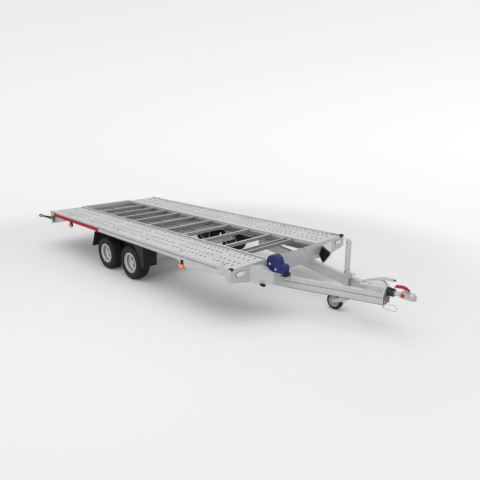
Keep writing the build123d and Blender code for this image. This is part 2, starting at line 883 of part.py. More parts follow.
def tyre(place, side):
    """Wide low tyre with rounded shoulders, on the rim's bead seats."""
    x = wheel_x[place]
    middle = wheel_face_y - rim_width_over / 2
    bead = rim_width_over / 2 - rim_wall
    with BuildPart() as carcass:
        with BuildSketch(Plane.XY.offset(tyre_radius)):
            with BuildLine():
                Polyline(
                    (x + bead_seat_radius, side * (middle + bead)),
                    (x + rim_flange_radius + 2, side * (middle + bead)),
                    (x + rim_flange_radius + 10, side * (middle + bead + 12)),
                    (x + 188, side * (middle + tyre_width / 2)),
                    (x + 212, side * (middle + tyre_width / 2 - 3)),
                    (x + 226, side * (middle + tread_width / 2 + 6)),
                    (x + tyre_radius - 4, side * (middle + tread_width / 2 - 4)),
                    (x + tyre_radius, side * (middle + tread_width / 4)),
                    (x + tyre_radius, side * (middle - tread_width / 4)),
                    (x + tyre_radius - 4, side * (middle - tread_width / 2 + 4)),
                    (x + 226, side * (middle - tread_width / 2 - 6)),
                    (x + 212, side * (middle - tyre_width / 2 + 3)),
                    (x + 188, side * (middle - tyre_width / 2)),
                    (x + rim_flange_radius + 10, side * (middle - bead - 12)),
                    (x + rim_flange_radius + 2, side * (middle - bead)),
                    (x + bead_seat_radius, side * (middle - bead)),
                    close=True,
                )
            make_face()
        revolve(axis=wheel_axis(place))
    return carcass.part


for place in wheel_x:
    save(axle(place), "axle_" + place)
    save(swing_arms(place), "swing_arms_" + place)
    for name, side in sides.items():
        save(hub_drum(place, side), "hub_drum_" + place + "_" + name)
        save(wheel_rim(place, side), "wheel_rim_" + place + "_" + name)
        save(tyre(place, side), "tyre_" + place + "_" + name)


guard_top = 2 * tyre_radius + guard_gap + guard_wall


def mudguard(side):
    """Tandem mudguard: flat top, flat front wall, slanted rear wall, inner skirt, front side plate."""
    top = guard_top - guard_wall / 2
    front = wheel_x["front"] + tyre_radius + guard_front_gap - guard_wall / 2
    rear_top = wheel_x["rear"] - tyre_radius - guard_gap
    rear_foot = wheel_x["rear"] - tyre_radius - guard_rear_gap
    slope = (rear_top - rear_foot) / (top - guard_rear_z)
    with BuildPart() as guard:
        with BuildSketch(Plane.XZ.offset(-side * guard_inner_y)):
            sheet_section(
                [(rear_foot, guard_rear_z), (rear_top, top), (front, top), (front, guard_front_z)],
                guard_wall,
            )
        extrude(amount=-side * (guard_outer_y - guard_inner_y))
        with BuildSketch(Plane.XZ.offset(-side * guard_inner_y)):
            Polygon(
                (rear_top - slope * (top - guard_skirt_z), guard_skirt_z),
                (rear_top, top),
                (front, top),
                (front, guard_skirt_z),
                align=None,
            )
        extrude(amount=-side * guard_wall)
        with BuildSketch(Plane.XZ.offset(-side * guard_outer_y)):
            Polygon(
                (wheel_x["front"], top),
                (front, top),
                (front, guard_front_z),
                (wheel_x["front"], guard_front_z),
                align=None,
            )
            with Locations((wheel_x["front"], tyre_radius)):
                Circle(guard_cut_radius, mode=Mode.SUBTRACT)
        extrude(amount=side * guard_wall)
    return guard.part


for name, side in sides.items():
    save(mudguard(side), "mudguard_" + name)

with BuildPart() as hangers:
    for side in sides.values():
        with BuildSketch(Plane.XZ.offset(-side * hanger_inner_y)):
            for index in (3, 4, 5):
                place = along(-member_first - member_pitch_front * index)
                with Locations((place, (member_bottom + guard_top) / 2)):
                    Rectangle(hanger_width, member_bottom - guard_top)
                    Rectangle(
                        hanger_width - 2 * sheet,
                        member_bottom - guard_top - 2 * sheet,
                        mode=Mode.SUBTRACT,
                    )
        extrude(amount=-side * (hanger_outer_y - hanger_inner_y))
save(hangers.part, "mudguard_hangers")

# ================================================================ jockey wheel
jx = along(jockey_x)
with BuildPart() as jockey_tube:
    with BuildSketch(Plane.XY.offset(jockey_tube_bottom)):
        with Locations((jx, jockey_y)):
            Circle(jockey_tube_radius)
            Circle(jockey_tube_radius - jockey_tube_wall, mode=Mode.SUBTRACT)
    extrude(amount=jockey_tube_top - jockey_tube_bottom)
    with BuildSketch(Plane.XY.offset(jockey_tube_top)):
        with Locations((jx, jockey_y)):
            Circle(jockey_tube_radius)
    extrude(amount=6)
save(jockey_tube.part, "jockey_tube")

with BuildPart() as jockey_clamp:
    with BuildSketch(Plane.XY.offset(drawbar_top)):
        with Locations((jx, jockey_y)):
            Circle(jockey_tube_radius + clamp_wall)
        with Locations((jx, jockey_y + 42)):
            Rectangle(50, 84)
        with Locations((jx + jockey_tube_radius + 12, jockey_y)):
            Rectangle(36, 26)
        with Locations((jx, jockey_y)):
            Circle(jockey_tube_radius, mode=Mode.SUBTRACT)
    extrude(amount=clamp_height)
    with BuildSketch(Plane.XY.offset(drawbar_top + 8)):
        with Locations((jx, jockey_y + 37 + 30)):
            Rectangle(60, 60)
    extrude(amount=60, mode=Mode.SUBTRACT)
    with BuildSketch(Plane.YZ.offset(jx + jockey_tube_radius + clamp_wall)):
        with Locations((jockey_y, drawbar_top + clamp_height)):
            Circle(clamp_handle_radius)
    extrude(amount=clamp_handle_reach - jockey_tube_radius - clamp_wall)
save(jockey_clamp.part, "jockey_clamp")

crank_top = jockey_tube_top + 6
with BuildPart() as jockey_crank:
    with BuildSketch(Plane.XY.offset(crank_top)):
        with Locations((jx, jockey_y)):
            Circle(9)
    extrude(amount=22)
    with BuildSketch(Plane.XY.offset(crank_top + 10)):
        with Locations((jx - 52, jockey_y)):
            SlotOverall(122, 18)
    extrude(amount=6)
save(jockey_crank.part, "jockey_crank")

with BuildPart() as crank_knob:
    with BuildSketch(Plane.XY.offset(crank_top + 16)):
        with Locations((jx - 104, jockey_y)):
            Circle(11)
    extrude(amount=26)
    with BuildSketch(Plane.XY.offset(crank_top + 42)):
        with Locations((jx - 104, jockey_y)):
            Circle(17)
    extrude(amount=14)
save(crank_knob.part, "jockey_crank_knob")

jockey_leg_radius = jockey_tube_radius - jockey_tube_wall - running_fit
fork_top = jockey_leg_bottom - running_fit
with BuildPart() as jockey_leg:
    with BuildSketch(Plane.XY.offset(jockey_leg_bottom)):
        with Locations((jx, jockey_y)):
            Circle(jockey_leg_radius)
    extrude(amount=jockey_leg_top - jockey_leg_bottom)
    with BuildSketch(Plane.XY.offset(jockey_leg_bottom)):
        with Locations((jx, jockey_y)):
            Circle(swivel_radius)
    extrude(amount=-(fork_wall + 2 * running_fit + 8))
    with BuildSketch(Plane.XY.offset(fork_top - fork_wall - running_fit)):
        with Locations((jx, jockey_y)):
            RegularPolygon(swivel_radius + 6, 6)
    extrude(amount=-8)
save(jockey_leg.part, "jockey_leg")

fork_inside = jockey_wheel_width / 2 + fork_gap
wheel_centre = (jx - jockey_trail, jockey_wheel_radius)
with BuildPart() as jockey_fork:
    for side in sides.values():
        with BuildSketch(Plane.XZ.offset(-(jockey_y + side * fork_inside))):
            with BuildLine():
                Polyline(
                    (jx - jockey_leg_radius - 8, fork_top),
                    (jx + jockey_leg_radius + 8, fork_top),
                    (jx + jockey_leg_radius + 8, fork_top - 36),
                    (wheel_centre[0] - 8, wheel_centre[1] - 18),
                    (wheel_centre[0] - 18, wheel_centre[1]),
                    (wheel_centre[0] - 8, wheel_centre[1] + 18),
                    close=True,
                )
            make_face()
        extrude(amount=-side * fork_wall)
    with BuildSketch(Plane.XY.offset(fork_top)):
        with Locations((jx, jockey_y)):
            Rectangle(2 * jockey_leg_radius + 16, 2 * (fork_inside + fork_wall))
            Circle(swivel_radius + running_fit, mode=Mode.SUBTRACT)
    extrude(amount=-fork_wall)
    with BuildSketch(Plane.XZ.offset(-(jockey_y + fork_inside))):
        with Locations(wheel_centre):
            Circle(jockey_pin_radius)
    extrude(amount=2 * fork_inside)
save(jockey_fork.part, "jockey_fork")

with BuildPart() as jockey_rim:
    with BuildSketch(Plane.XZ.offset(-(jockey_y + jockey_wheel_width / 2))):
        with Locations(wheel_centre):
            Circle(jockey_rim_radius)
            Circle(jockey_pin_radius + running_fit, mode=Mode.SUBTRACT)
    extrude(amount=jockey_wheel_width)
save(jockey_rim.part, "jockey_rim")

with BuildPart() as jockey_tyre:
    with BuildSketch(Plane.XZ.offset(-(jockey_y + jockey_wheel_width / 2))):
        with Locations(wheel_centre):
            Circle(jockey_wheel_radius)
            Circle(jockey_rim_radius, mode=Mode.SUBTRACT)
    extrude(amount=jockey_wheel_width)
save(jockey_tyre.part, "jockey_tyre")

# ================================================================ rear end and lamps
with BuildPart() as lamp_board:
    with BuildSketch(Plane.XZ.offset(-member_half_length)):
        sheet_section(
            [
                (deck_rear + sheet / 2, member_bottom),
                (deck_rear + sheet / 2, lamp_board_bottom + sheet / 2),
                (deck_rear + 20, lamp_board_bottom + sheet / 2),
            ],
            sheet,
        )
    extrude(amount=2 * member_half_length)
save(lamp_board.part, "lamp_board")

with BuildPart() as rear_beam:
    with BuildSketch(Plane.XZ.offset(-runway_inner)):
        beam_height = deck_height - member_bottom
        with Locations((deck_rear + rear_beam_depth / 2, member_bottom + beam_height / 2)):
            Rectangle(rear_beam_depth, beam_height)
            Rectangle(rear_beam_depth - 2 * sheet, beam_height - 2 * sheet, mode=Mode.SUBTRACT)
    extrude(amount=2 * runway_inner)
save(rear_beam.part, "rear_beam")

rail_bottom = deck_height - rail_depth
with BuildPart() as skirts:
    for side in sides.values():
        with BuildSketch(Plane.XZ.offset(-side * (half_width - rail_flange))):
            with BuildLine():
                Polyline(
                    (deck_rear, lamp_board_bottom),
                    (deck_rear, deck_height - rail_depth),
                    (deck_rear + skirt_length, deck_height - rail_depth),
                    close=True,
                )
            make_face()
        extrude(amount=-side * sheet)
        post_out = half_width - sheet / 2
        with BuildSketch(Plane.XY.offset(lamp_board_bottom)):
            sheet_section(
                [
                    (deck_rear + sheet / 2, side * (half_width - rail_flange + sheet / 2)),
                    (deck_rear + sheet / 2, side * post_out),
                    (deck_rear + corner_post_length, side * post_out),
                ],
                sheet,
            )
        extrude(amount=rail_bottom - lamp_board_bottom)
save(skirts.part, "rear_skirts")

with BuildPart() as rear_lamps:
    for side in sides.values():
        with BuildSketch(Plane.YZ.offset(deck_rear)):
            with Locations((side * rear_lamp_y, (lamp_board_bottom + member_bottom) / 2)):
                RectangleRounded(rear_lamp_length, rear_lamp_height, 12)
        extrude(amount=-rear_lamp_depth)
save(rear_lamps.part, "rear_lamps")

outline_x = deck_rear - outline_lamp_depth / 2
outline_base_y = half_width - outline_base_inset
outline_base_z = deck_height - outline_base_drop
with BuildPart() as outline_arms:
    for side in sides.values():
        with BuildSketch(Plane.YZ.offset(deck_rear)):
            with Locations((side * outline_base_y, outline_base_z)):
                RectangleRounded(34, 60, 6)
        extrude(amount=-outline_lamp_depth)
        foot = Vector(outline_x, side * outline_base_y, outline_base_z)
        tip = Vector(outline_x, side * outline_lamp_y, outline_lamp_z)
        with BuildSketch(Plane(origin=foot, x_dir=(1, 0, 0), z_dir=tip - foot)):
            Circle(outline_arm_radius)
        extrude(amount=(tip - foot).length)
        with BuildSketch(Plane.YZ.offset(deck_rear)):
            with Locations((side * outline_lamp_y, outline_lamp_z)):
                Circle(outline_lamp_radius)
        extrude(amount=-outline_lamp_depth, mode=Mode.SUBTRACT)
save(outline_arms.part, "outline_lamp_arms")

with BuildPart() as outline_lamps:
    for side in sides.values():
        with BuildSketch(Plane.YZ.offset(deck_rear)):
            with Locations((side * outline_lamp_y, outline_lamp_z)):
                Circle(outline_lamp_radius)
        extrude(amount=-outline_lamp_depth)
save(outline_lamps.part, "outline_lamps")

with BuildPart() as marker_brackets:
    for side in sides.values():
        for place in (marker_rear, marker_front):
            with BuildSketch(Plane.XZ.offset(-side * (half_width - 24))):
                with Locations((along(-place), rail_bottom - (marker_drop + marker_height) / 2)):
                    Rectangle(30, marker_drop + marker_height)
            extrude(amount=side * 20)
save(marker_brackets.part, "marker_brackets")

with BuildPart() as side_markers:
    for side in sides.values():
        for place in (marker_rear, marker_front):
            with BuildSketch(Plane.XZ.offset(-side * (half_width - marker_depth))):
                with Locations((along(-place), rail_bottom - marker_drop - marker_height / 2)):
                    RectangleRounded(marker_length, marker_height, 8)
            extrude(amount=-side * marker_depth)
save(side_markers.part, "side_markers")

chock_bottom = drawbar_top + chock_rise
chock_outer_y = chock_inner_y + chock_width
holder_web_y = drawbar_outer(holder_rear) + holder_wall
with BuildPart() as chock_holder:
    with BuildSketch(Plane.YZ.offset(along(holder_rear))):
        sheet_section(
            [
                (-holder_web_y + drawbar_width, drawbar_top + holder_wall / 2),
                (-holder_web_y, drawbar_top + holder_wall / 2),
                (-holder_web_y, chock_bottom - holder_wall / 2),
                (-chock_outer_y, chock_bottom - holder_wall / 2),
            ],
            holder_wall,
        )
    extrude(amount=holder_front - holder_rear)
save(chock_holder.part, "chock_holder")

with BuildPart() as chock:
    with BuildSketch(Plane.XZ.offset(chock_outer_y)):
        with BuildLine():
            ThreePointArc(
                (along(66), chock_bottom),
                (along(29), chock_bottom + 36),
                (deck_front + panel_lip_proud, chock_bottom + 100),
            )
            Polyline(
                (deck_front + panel_lip_proud, chock_bottom + 100),
                (deck_front + panel_lip_proud, chock_bottom + 120),
                (along(18), chock_bottom + 148),
            )
            ThreePointArc(
                (along(18), chock_bottom + 148),
                (along(98), chock_bottom + 188),
                (along(166), chock_bottom + 158),
            )
            Polyline(
                (along(166), chock_bottom + 158),
                (along(182), chock_bottom + 124),
                (along(186), chock_bottom + 98),
                (along(222), chock_bottom + 101),
            )
            ThreePointArc(
                (along(222), chock_bottom + 101),
                (along(252), chock_bottom + 88),
                (along(261), chock_bottom + 56),
            )
            Polyline(
                (along(261), chock_bottom + 56),
                (along(257), chock_bottom + 16),
                (along(240), chock_bottom),
                (along(66), chock_bottom),
            )
        make_face()
    extrude(amount=-chock_width)
save(chock.part, "wheel_chock")

# ================================================================ breakaway cable
cable_radius = 2.0
cable_route = [
    (along(end_plate_front), -62, 303),
    (along(1222), -60, 310),
    (along(1258), -56, 324),
    (along(1300), -50, 328),
    (along(1332), -44, 318),
    (along(1348), -40, 291),
    (along(1330), -42, 267),
    (along(1296), -46, 261),
    (along(1256), -50, 261),
    (along(1222), -54, 267),
    (along(end_plate_front), -56, 276),
]
cable_points = [Vector(*point) for point in cable_route]
cable_radii = []
for index in range(1, len(cable_points) - 1):
    before = cable_points[index] - cable_points[index - 1]
    after = cable_points[index + 1] - cable_points[index]
    turn = radians(before.get_angle(after))
    cable_radii.append(0.45 * min(before.length, after.length) / tan(turn / 2))
print("cable radii", [round(radius, 1) for radius in cable_radii])
with BuildPart() as cable:
    with BuildLine() as cable_line:
        FilletPolyline(*cable_points, radius=cable_radii)
    with BuildSketch(Plane(origin=cable_points[0], z_dir=cable_points[1] - cable_points[0])):
        Circle(cable_radius)
    sweep(path=cable_line.wires()[0])
print("cable length", round(cable_line.wires()[0].length, 1), "volume", round(cable.part.volume, 1))
save(cable.part, "breakaway_cable")
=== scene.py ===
"""Looks of a flat-deck car trailer with two axles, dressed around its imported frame."""

import sys
import logging
import math
from collections.abc import Callable, Iterable, Sequence
from dataclasses import dataclass, field
from enum import Enum
from functools import cache, cached_property

import bmesh
import bpy
from mathutils import Matrix, Vector, geometry


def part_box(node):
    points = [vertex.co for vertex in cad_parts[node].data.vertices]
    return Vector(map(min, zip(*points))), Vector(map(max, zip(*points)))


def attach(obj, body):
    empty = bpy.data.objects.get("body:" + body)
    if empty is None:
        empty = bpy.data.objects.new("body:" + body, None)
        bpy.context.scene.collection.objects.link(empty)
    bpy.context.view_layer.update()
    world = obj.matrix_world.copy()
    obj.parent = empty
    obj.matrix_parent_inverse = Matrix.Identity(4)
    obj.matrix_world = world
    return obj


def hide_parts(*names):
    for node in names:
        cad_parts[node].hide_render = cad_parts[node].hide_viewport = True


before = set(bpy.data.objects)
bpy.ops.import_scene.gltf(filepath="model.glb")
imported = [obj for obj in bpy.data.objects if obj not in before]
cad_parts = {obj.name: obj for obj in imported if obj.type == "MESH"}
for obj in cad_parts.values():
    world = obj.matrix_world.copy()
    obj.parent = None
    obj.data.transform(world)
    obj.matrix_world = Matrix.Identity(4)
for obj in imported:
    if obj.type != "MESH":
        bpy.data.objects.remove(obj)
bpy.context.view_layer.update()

log = logging.getLogger("trailer")

Mesh = bmesh.types.BMesh
Socket = bpy.types.NodeSocket
Point = Sequence[float]
Pair = tuple[float, float]
Outline = tuple[Pair, ...]
Colour = tuple[float, float, float, float]

UP = Vector((0, 0, 1))
FORWARD = Vector((1, 0, 0))
ACROSS = Vector((0, 1, 0))
LENGTHWISE = Matrix(((0, 0, 1, 0), (1, 0, 0, 0), (0, 1, 0, 0), (0, 0, 0, 1)))
CROSSWISE = Matrix(((1, 0, 0, 0), (0, 0, 1, 0), (0, 1, 0, 0), (0, 0, 0, 1)))
RUNWAY_SHEET = 0.003


class Edge:
    """How far the rounding of an edge reaches, in metres."""

    SKIN = 0.0004
    FLANGE = 0.0006
    SHEET = 0.0008
    GASKET = 0.001
    RIM = 0.0012
    WINDOW = 0.003
    PLASTIC = 0.004
    STOP = 0.005
    SHELL = 0.006
    LENS = 0.009


# ---------------------------------------------------------------- named options
class Side(Enum):
    """The two sides of the trailer; the value is the sign of y."""

    RIGHT = -1
    LEFT = 1

    @property
    def label(self) -> str:
        """Name that the frame's nodes use for this side."""
        return self.name.lower()


class Axle(Enum):
    """The two axles of the running gear."""

    FRONT = "front"
    REAR = "rear"


class Body(Enum):
    """Bodies of the frame that are not a road wheel."""

    CHASSIS = "chassis"
    JOCKEY_WHEEL = "jockey_wheel"


class Slot(Enum):
    """Material slots of the record."""

    GALVANISED = "galvanised_steel"
    TYRE = "tyre_rubber"
    SILVER = "silver_paint"
    CAST = "cast_steel"
    BLACK = "black_plastic"
    RUBBER = "black_rubber"
    AMBER = "amber_lens"
    RED_LENS = "red_lens"
    BLUE = "blue_plastic"
    RED = "red_plastic"
    SHEATH = "red_sheath"
    DARK_ZINC = "dark_zinc"
    CLEAR_LENS = "clear_lens"


# ---------------------------------------------------------------- node graphs
class Graph:
    """Node tree of a material or of the world, with short calls that add nodes and join them."""

    def __init__(self, owner: bpy.types.Material | bpy.types.World) -> None:
        """Open the owner's tree."""
        owner.use_nodes = True
        self.tree = owner.node_tree

    @cached_property
    def shader(self) -> bpy.types.Node:
        """The material's own surface node."""
        return self.tree.nodes["Principled BSDF"]

    @cached_property
    def place(self) -> Socket:
        """Object coordinates."""
        return self.add("ShaderNodeTexCoord").outputs["Object"]

    def fill(self, socket: Socket, value: object) -> None:
        """Join a socket to another one, or give it a value.

        Args:
            socket: The socket to fill.
            value: A value or a socket.
        """
        if isinstance(value, Socket):
            self.tree.links.new(value, socket)
        else:
            socket.default_value = value

    def add(self, kind: str, settings: dict[str, str] | None = None, **sockets: object) -> bpy.types.Node:
        """Add a node and fill its sockets by name.

        Args:
            kind: The node's type name.
            settings: Properties to set on the node.
            sockets: Socket names, with underscores for spaces, and a value or a socket to join.

        Returns:
            The new node.
        """
        node = self.tree.nodes.new(kind)
        for key, value in (settings or {}).items():
            setattr(node, key, value)
        for key, value in sockets.items():
            self.fill(node.inputs[key.replace("_", " ")], value)
        return node

    def numbered(self, kind: str, settings: dict[str, str], values: dict[int, object],
                 output: int | str = 0) -> Socket:
        """Add a node and fill its sockets by number.

        Args:
            kind: The node's type name.
            settings: Properties to set on the node.
            values: Socket numbers, and a value or a socket to join.
            output: Which of its outputs to give back.

        Returns:
            The node's output socket.
        """
        node = self.add(kind, settings)
        for number, value in values.items():
            self.fill(node.inputs[number], value)
        return node.outputs[output]

    def maths(self, operation: str, first: object, second: object) -> Socket:
        """One arithmetic step on two values."""
        return self.numbered("ShaderNodeMath", {"operation": operation}, {0: first, 1: second})

    def vector(self, operation: str, values: dict[int, object], output: str = "Vector") -> Socket:
        """One arithmetic step on vectors."""
        return self.numbered("ShaderNodeVectorMath", {"operation": operation}, values, output)

    def mixed(self, share: object, first: object, second: object) -> Socket:
        """Blend two colours, with the share of the second one."""
        return self.numbered("ShaderNodeMix", {"data_type": "RGBA"}, {0: share, 6: first, 7: second}, 2)

    def blended(self, share: Socket, first: Socket, second: Socket) -> Socket:
        """Blend two surfaces, with the share of the second one."""
        return self.numbered("ShaderNodeMixShader", {}, {0: share, 1: first, 2: second})

    def noise(self, scale: float, detail: float = 3.0, stretch: Point = (1, 1, 1)) -> Socket:
        """Cloudy pattern.

        Args:
            scale: Features in each metre.
            detail: Octaves.
            stretch: Scale along each axis, for streaks.

        Returns:
            The pattern's value socket.
        """
        moved = self.add("ShaderNodeMapping", Vector=self.place, Scale=stretch).outputs["Vector"]
        return self.add("ShaderNodeTexNoise", Vector=moved, Scale=scale, Detail=detail).outputs[0]

    def span(self, value: Socket, low: float, high: float, start: float = 0.3, end: float = 0.7,
             curve: str = "LINEAR") -> Socket:
        """Map a pattern's values to a new span.

        Args:
            value: The pattern.
            low: Result at the start.
            high: Result at the end.
            start: The pattern's value that gives the low result.
            end: The pattern's value that gives the high result.
            curve: How the result goes from one to the other.

        Returns:
            The mapped value's socket.
        """
        node = self.add("ShaderNodeMapRange", {"interpolation_type": curve}, Value=value, From_Min=start, From_Max=end,
                        To_Min=low, To_Max=high)
        return node.outputs["Result"]

    def relief(self, height: Socket, depth: float, before: Socket | None = None) -> Socket:
        """Turn a pattern into bumps.

        Args:
            height: The pattern.
            depth: How high the bumps are, in metres.
            before: Bumps that these are laid on.

        Returns:
            The surface normal's socket.
        """
        node = self.add("ShaderNodeBump", Height=height, Distance=depth, Strength=1.0)
        if before is not None:
            self.fill(node.inputs["Normal"], before)
        return node.outputs["Normal"]

    def surface(self, **values: object) -> None:
        """Fill sockets of the material's surface by name."""
        for key, value in values.items():
            self.fill(self.shader.inputs[key.replace("_", " ")], value)


def tone(value: float, warmth: float = 0.0, green: float = 0.0) -> Colour:
    """A near-grey colour.

    Args:
        value: Brightness, linear.
        warmth: How far red rises and blue falls.
        green: How far green rises.

    Returns:
        Red, green, blue and alpha.
    """
    return (value * (1 + warmth), value * (1 + green), value * (1 - warmth), 1.0)


# ---------------------------------------------------------------- finishes
@dataclass(frozen=True)
class Finish:
    """Surface with cloudy colour, uneven gloss and a fine grain."""

    name: str
    colour: Colour
    worn: Colour
    roughness: Pair = (0.4, 0.6)
    metallic: float = 0.0
    cloud: float = 6.0
    grain: float = 500.0
    grain_depth: float = 0.0002
    coat: float = 0.0
    shine: float = 0.5

    @cache
    def material(self) -> bpy.types.Material:
        """The finish as a material, made once."""
        material = bpy.data.materials.new(self.name)
        graph = Graph(material)
        graph.surface(Metallic=self.metallic, Coat_Weight=self.coat, Specular_IOR_Level=self.shine)
        self.paint(graph)
        return material

    def paint(self, graph: Graph) -> None:
        """Fill the graph: colour, gloss and grain.

        Args:
            graph: The material's graph.
        """
        graph.surface(
            Base_Color=graph.mixed(graph.span(graph.noise(self.cloud), 0, 1), self.colour, self.worn),
            Roughness=graph.span(graph.noise(self.cloud * 4), *self.roughness),
            Normal=graph.relief(graph.noise(self.grain, 2.0), self.grain_depth),
        )


@dataclass(frozen=True)
class Galvanised(Finish):
    """Hot-dip zinc: spangled crystals, run streaks and a soft dull bloom."""

    roughness: Pair = (0.38, 0.55)
    metallic: float = 0.35
    cloud: float = 3.0
    grain: float = 420.0
    grain_depth: float = 0.00012
    crystal: float = 70.0
    crystal_share: float = 0.45
    streak: Point = (1.0, 1.0, 9.0)
    streak_share: float = 0.55
    ripple: float = 28.0
    ripple_depth: float = 0.0006

    def paint(self, graph: Graph) -> None:
        """Fill the graph: crystals over streaks, with gloss that changes from crystal to crystal.

        Args:
            graph: The material's graph.
        """
        shape = graph.add("ShaderNodeTexVoronoi", Vector=graph.place, Scale=self.crystal)
        facet = graph.add("ShaderNodeSeparateColor", Color=shape.outputs["Color"]).outputs[0]
        streak = graph.noise(self.cloud, 4.0, self.streak)
        blend = graph.maths("ADD", graph.span(facet, 0.0, self.crystal_share, 0.0, 1.0),
                            graph.span(streak, 0.0, self.streak_share))
        ripple = graph.relief(graph.noise(self.ripple), self.ripple_depth)
        graph.surface(
            Base_Color=graph.mixed(blend, self.colour, self.worn),
            Roughness=graph.span(facet, *self.roughness, 0.0, 1.0),
            Normal=graph.relief(graph.noise(self.grain), self.grain_depth, ripple),
        )


@dataclass(frozen=True)
class Moulded(Finish):
    """Matt plastic or rubber."""

    shine: float = 0.3


@dataclass(frozen=True)
class Painted(Finish):
    """Fine metallic paint."""

    metallic: float = 0.4
    cloud: float = 20.0
    grain: float = 2500.0
    grain_depth: float = 0.00005


@dataclass(frozen=True)
class Lens(Finish):
    """Moulded lamp lens with prisms behind a clear skin."""

    roughness: Pair = (0.08, 0.2)
    grain_depth: float = 0.0006
    coat: float = 0.8
    cloud: float = 30.0
    prisms: float = 240.0 / 6.3

    def paint(self, graph: Graph) -> None:
        """Fill the graph: fluted prisms that lighten the colour, under a smooth skin.

        Args:
            graph: The material's graph.
        """
        wave = graph.add("ShaderNodeTexWave", {"bands_direction": "Y"}, Vector=graph.place, Scale=self.prisms)
        band = wave.outputs["Fac"]
        graph.surface(
            Base_Color=graph.mixed(graph.span(band, 0, 1, 0, 1), self.colour, self.worn),
            Roughness=graph.span(graph.noise(self.cloud), *self.roughness),
            Normal=graph.relief(band, self.grain_depth),
        )


@dataclass(frozen=True)
class Film(Finish):
    """Reflective tape with a faint honeycomb."""

    roughness: Pair = (0.5, 0.65)
    grain_depth: float = 0.0001
    shine: float = 0.2
    comb: float = 300.0
    wall_reach: Pair = (0.02, 0.09)

    def paint(self, graph: Graph) -> None:
        """Fill the graph: honeycomb cell walls a little lighter than the film.

        Args:
            graph: The material's graph.
        """
        cell = graph.add("ShaderNodeTexVoronoi", {"feature": "DISTANCE_TO_EDGE"}, Vector=graph.place, Scale=self.comb)
        wall = graph.span(cell.outputs["Distance"], 0.4, 0.0, *self.wall_reach)
        cloud = graph.span(graph.noise(self.cloud), 0.0, 0.4)
        graph.surface(
            Base_Color=graph.mixed(graph.maths("ADD", wall, cloud), self.colour, self.worn),
            Roughness=graph.span(graph.noise(self.cloud * 3), *self.roughness),
            Normal=graph.relief(wall, self.grain_depth),
        )


ZINC = Galvanised("zinc", tone(0.60, -0.004, 0.012), tone(0.50, -0.01, 0.015))
# Zinc darkened by painted shade, for the front panel.
ZINC_PANEL_SHADE = Galvanised("zinc_panel", tone(0.56, -0.004, 0.012), tone(0.47, -0.01, 0.015))
# Lighter zinc: painted highlight on the runway rims and the cross members' tops; pale zinc on the end plate and the
# brake bracket.
ZINC_PALE_LIT = Galvanised("zinc_light", tone(0.72, -0.004, 0.010), tone(0.62, -0.01, 0.012), (0.38, 0.52), 0.3,
                        grain_depth=0.0001)
# Darker zinc: painted shade on the rims' outer walls.
ZINC_WALL_SHADE = Galvanised("zinc_dull", tone(0.42, -0.01, 0.01), tone(0.36, -0.01, 0.01), (0.45, 0.6), 0.3, 6.0)
# Darker zinc: painted shade on the cross members' sides, the stowed ramps and their runners under the deck.
ZINC_HALF_SHADE = Galvanised("zinc_mid", tone(0.30, -0.01, 0.01), tone(0.24, -0.01, 0.01), (0.42, 0.6), 0.3, 6.0)
# Near-black zinc: painted shadow in the rail grooves, the hole walls, the slots round the lashing tongues, beside the
# rims and along the drawbar.
ZINC_PAINTED_SHADE = Galvanised("zinc_shade", tone(0.15, -0.02, 0.01), tone(0.10, -0.02, 0.01), (0.5, 0.7), 0.2, 9.0,
                        grain_depth=0.00015)
# Dark zinc: painted shade under the horn's top edge; also the dark_zinc slot's nodes and the end plate's dark lower
# face.
ZINC_DARK_AND_SHADE = Galvanised("zinc_dark", tone(0.12, -0.01), tone(0.17), (0.4, 0.6), 0.4, 9.0, 500.0, 0.0002)
BRIGHT_ZINC = Galvanised("bright_zinc", tone(0.62), tone(0.5, 0.01), (0.25, 0.4), 0.6, 12.0, 700.0, 0.0001,
                         crystal=240.0)
CAST_LIGHT = Finish("cast_light", tone(0.56, 0.005), tone(0.44, 0.01), (0.42, 0.6), 0.4, 18.0, 900.0, 0.0004)
CAST_DARK = Finish("cast_dark", tone(0.05), tone(0.09, 0.03), (0.5, 0.7), 0.2, 14.0, 700.0, 0.0005)
SILVER = Painted("wheel_silver", tone(0.86, 0.004), tone(0.78, 0.006), (0.28, 0.42), 0.15, coat=0.4)
# Dimmer silver: painted shade in the road rims' wells and dishes; also the jockey rim's grey.
SILVER_DIM_AND_SHADE = Painted("wheel_silver_mid", tone(0.34, 0.004), tone(0.27, 0.006), (0.34, 0.5))
# Near-black silver: painted shadow in the rims' groove and in the vents.
SILVER_SHADOW = Painted("wheel_silver_deep", tone(0.035), tone(0.025, 0.01), (0.4, 0.55))
RUBBER = Moulded("tyre_rubber", tone(0.014), tone(0.022, 0.03), (0.7, 0.9), 0.0, 14.0, 900.0, 0.0004)
SOFT_RUBBER = Moulded("soft_rubber", tone(0.009), tone(0.017), (0.6, 0.8), 0.0, 25.0, 1200.0)
# Grey rubber for the bellows' valleys: dust, and painted light that gives the folds their contrast.
DUST_AND_LIGHT_RUBBER = Moulded("dusty_rubber", tone(0.30), tone(0.22), (0.6, 0.8), 0.0, 25.0, 1200.0)
BLACK = Moulded("moulded_black", tone(0.010), tone(0.018, 0.01), (0.55, 0.75), 0.0, 8.0, 1500.0, 0.0003)
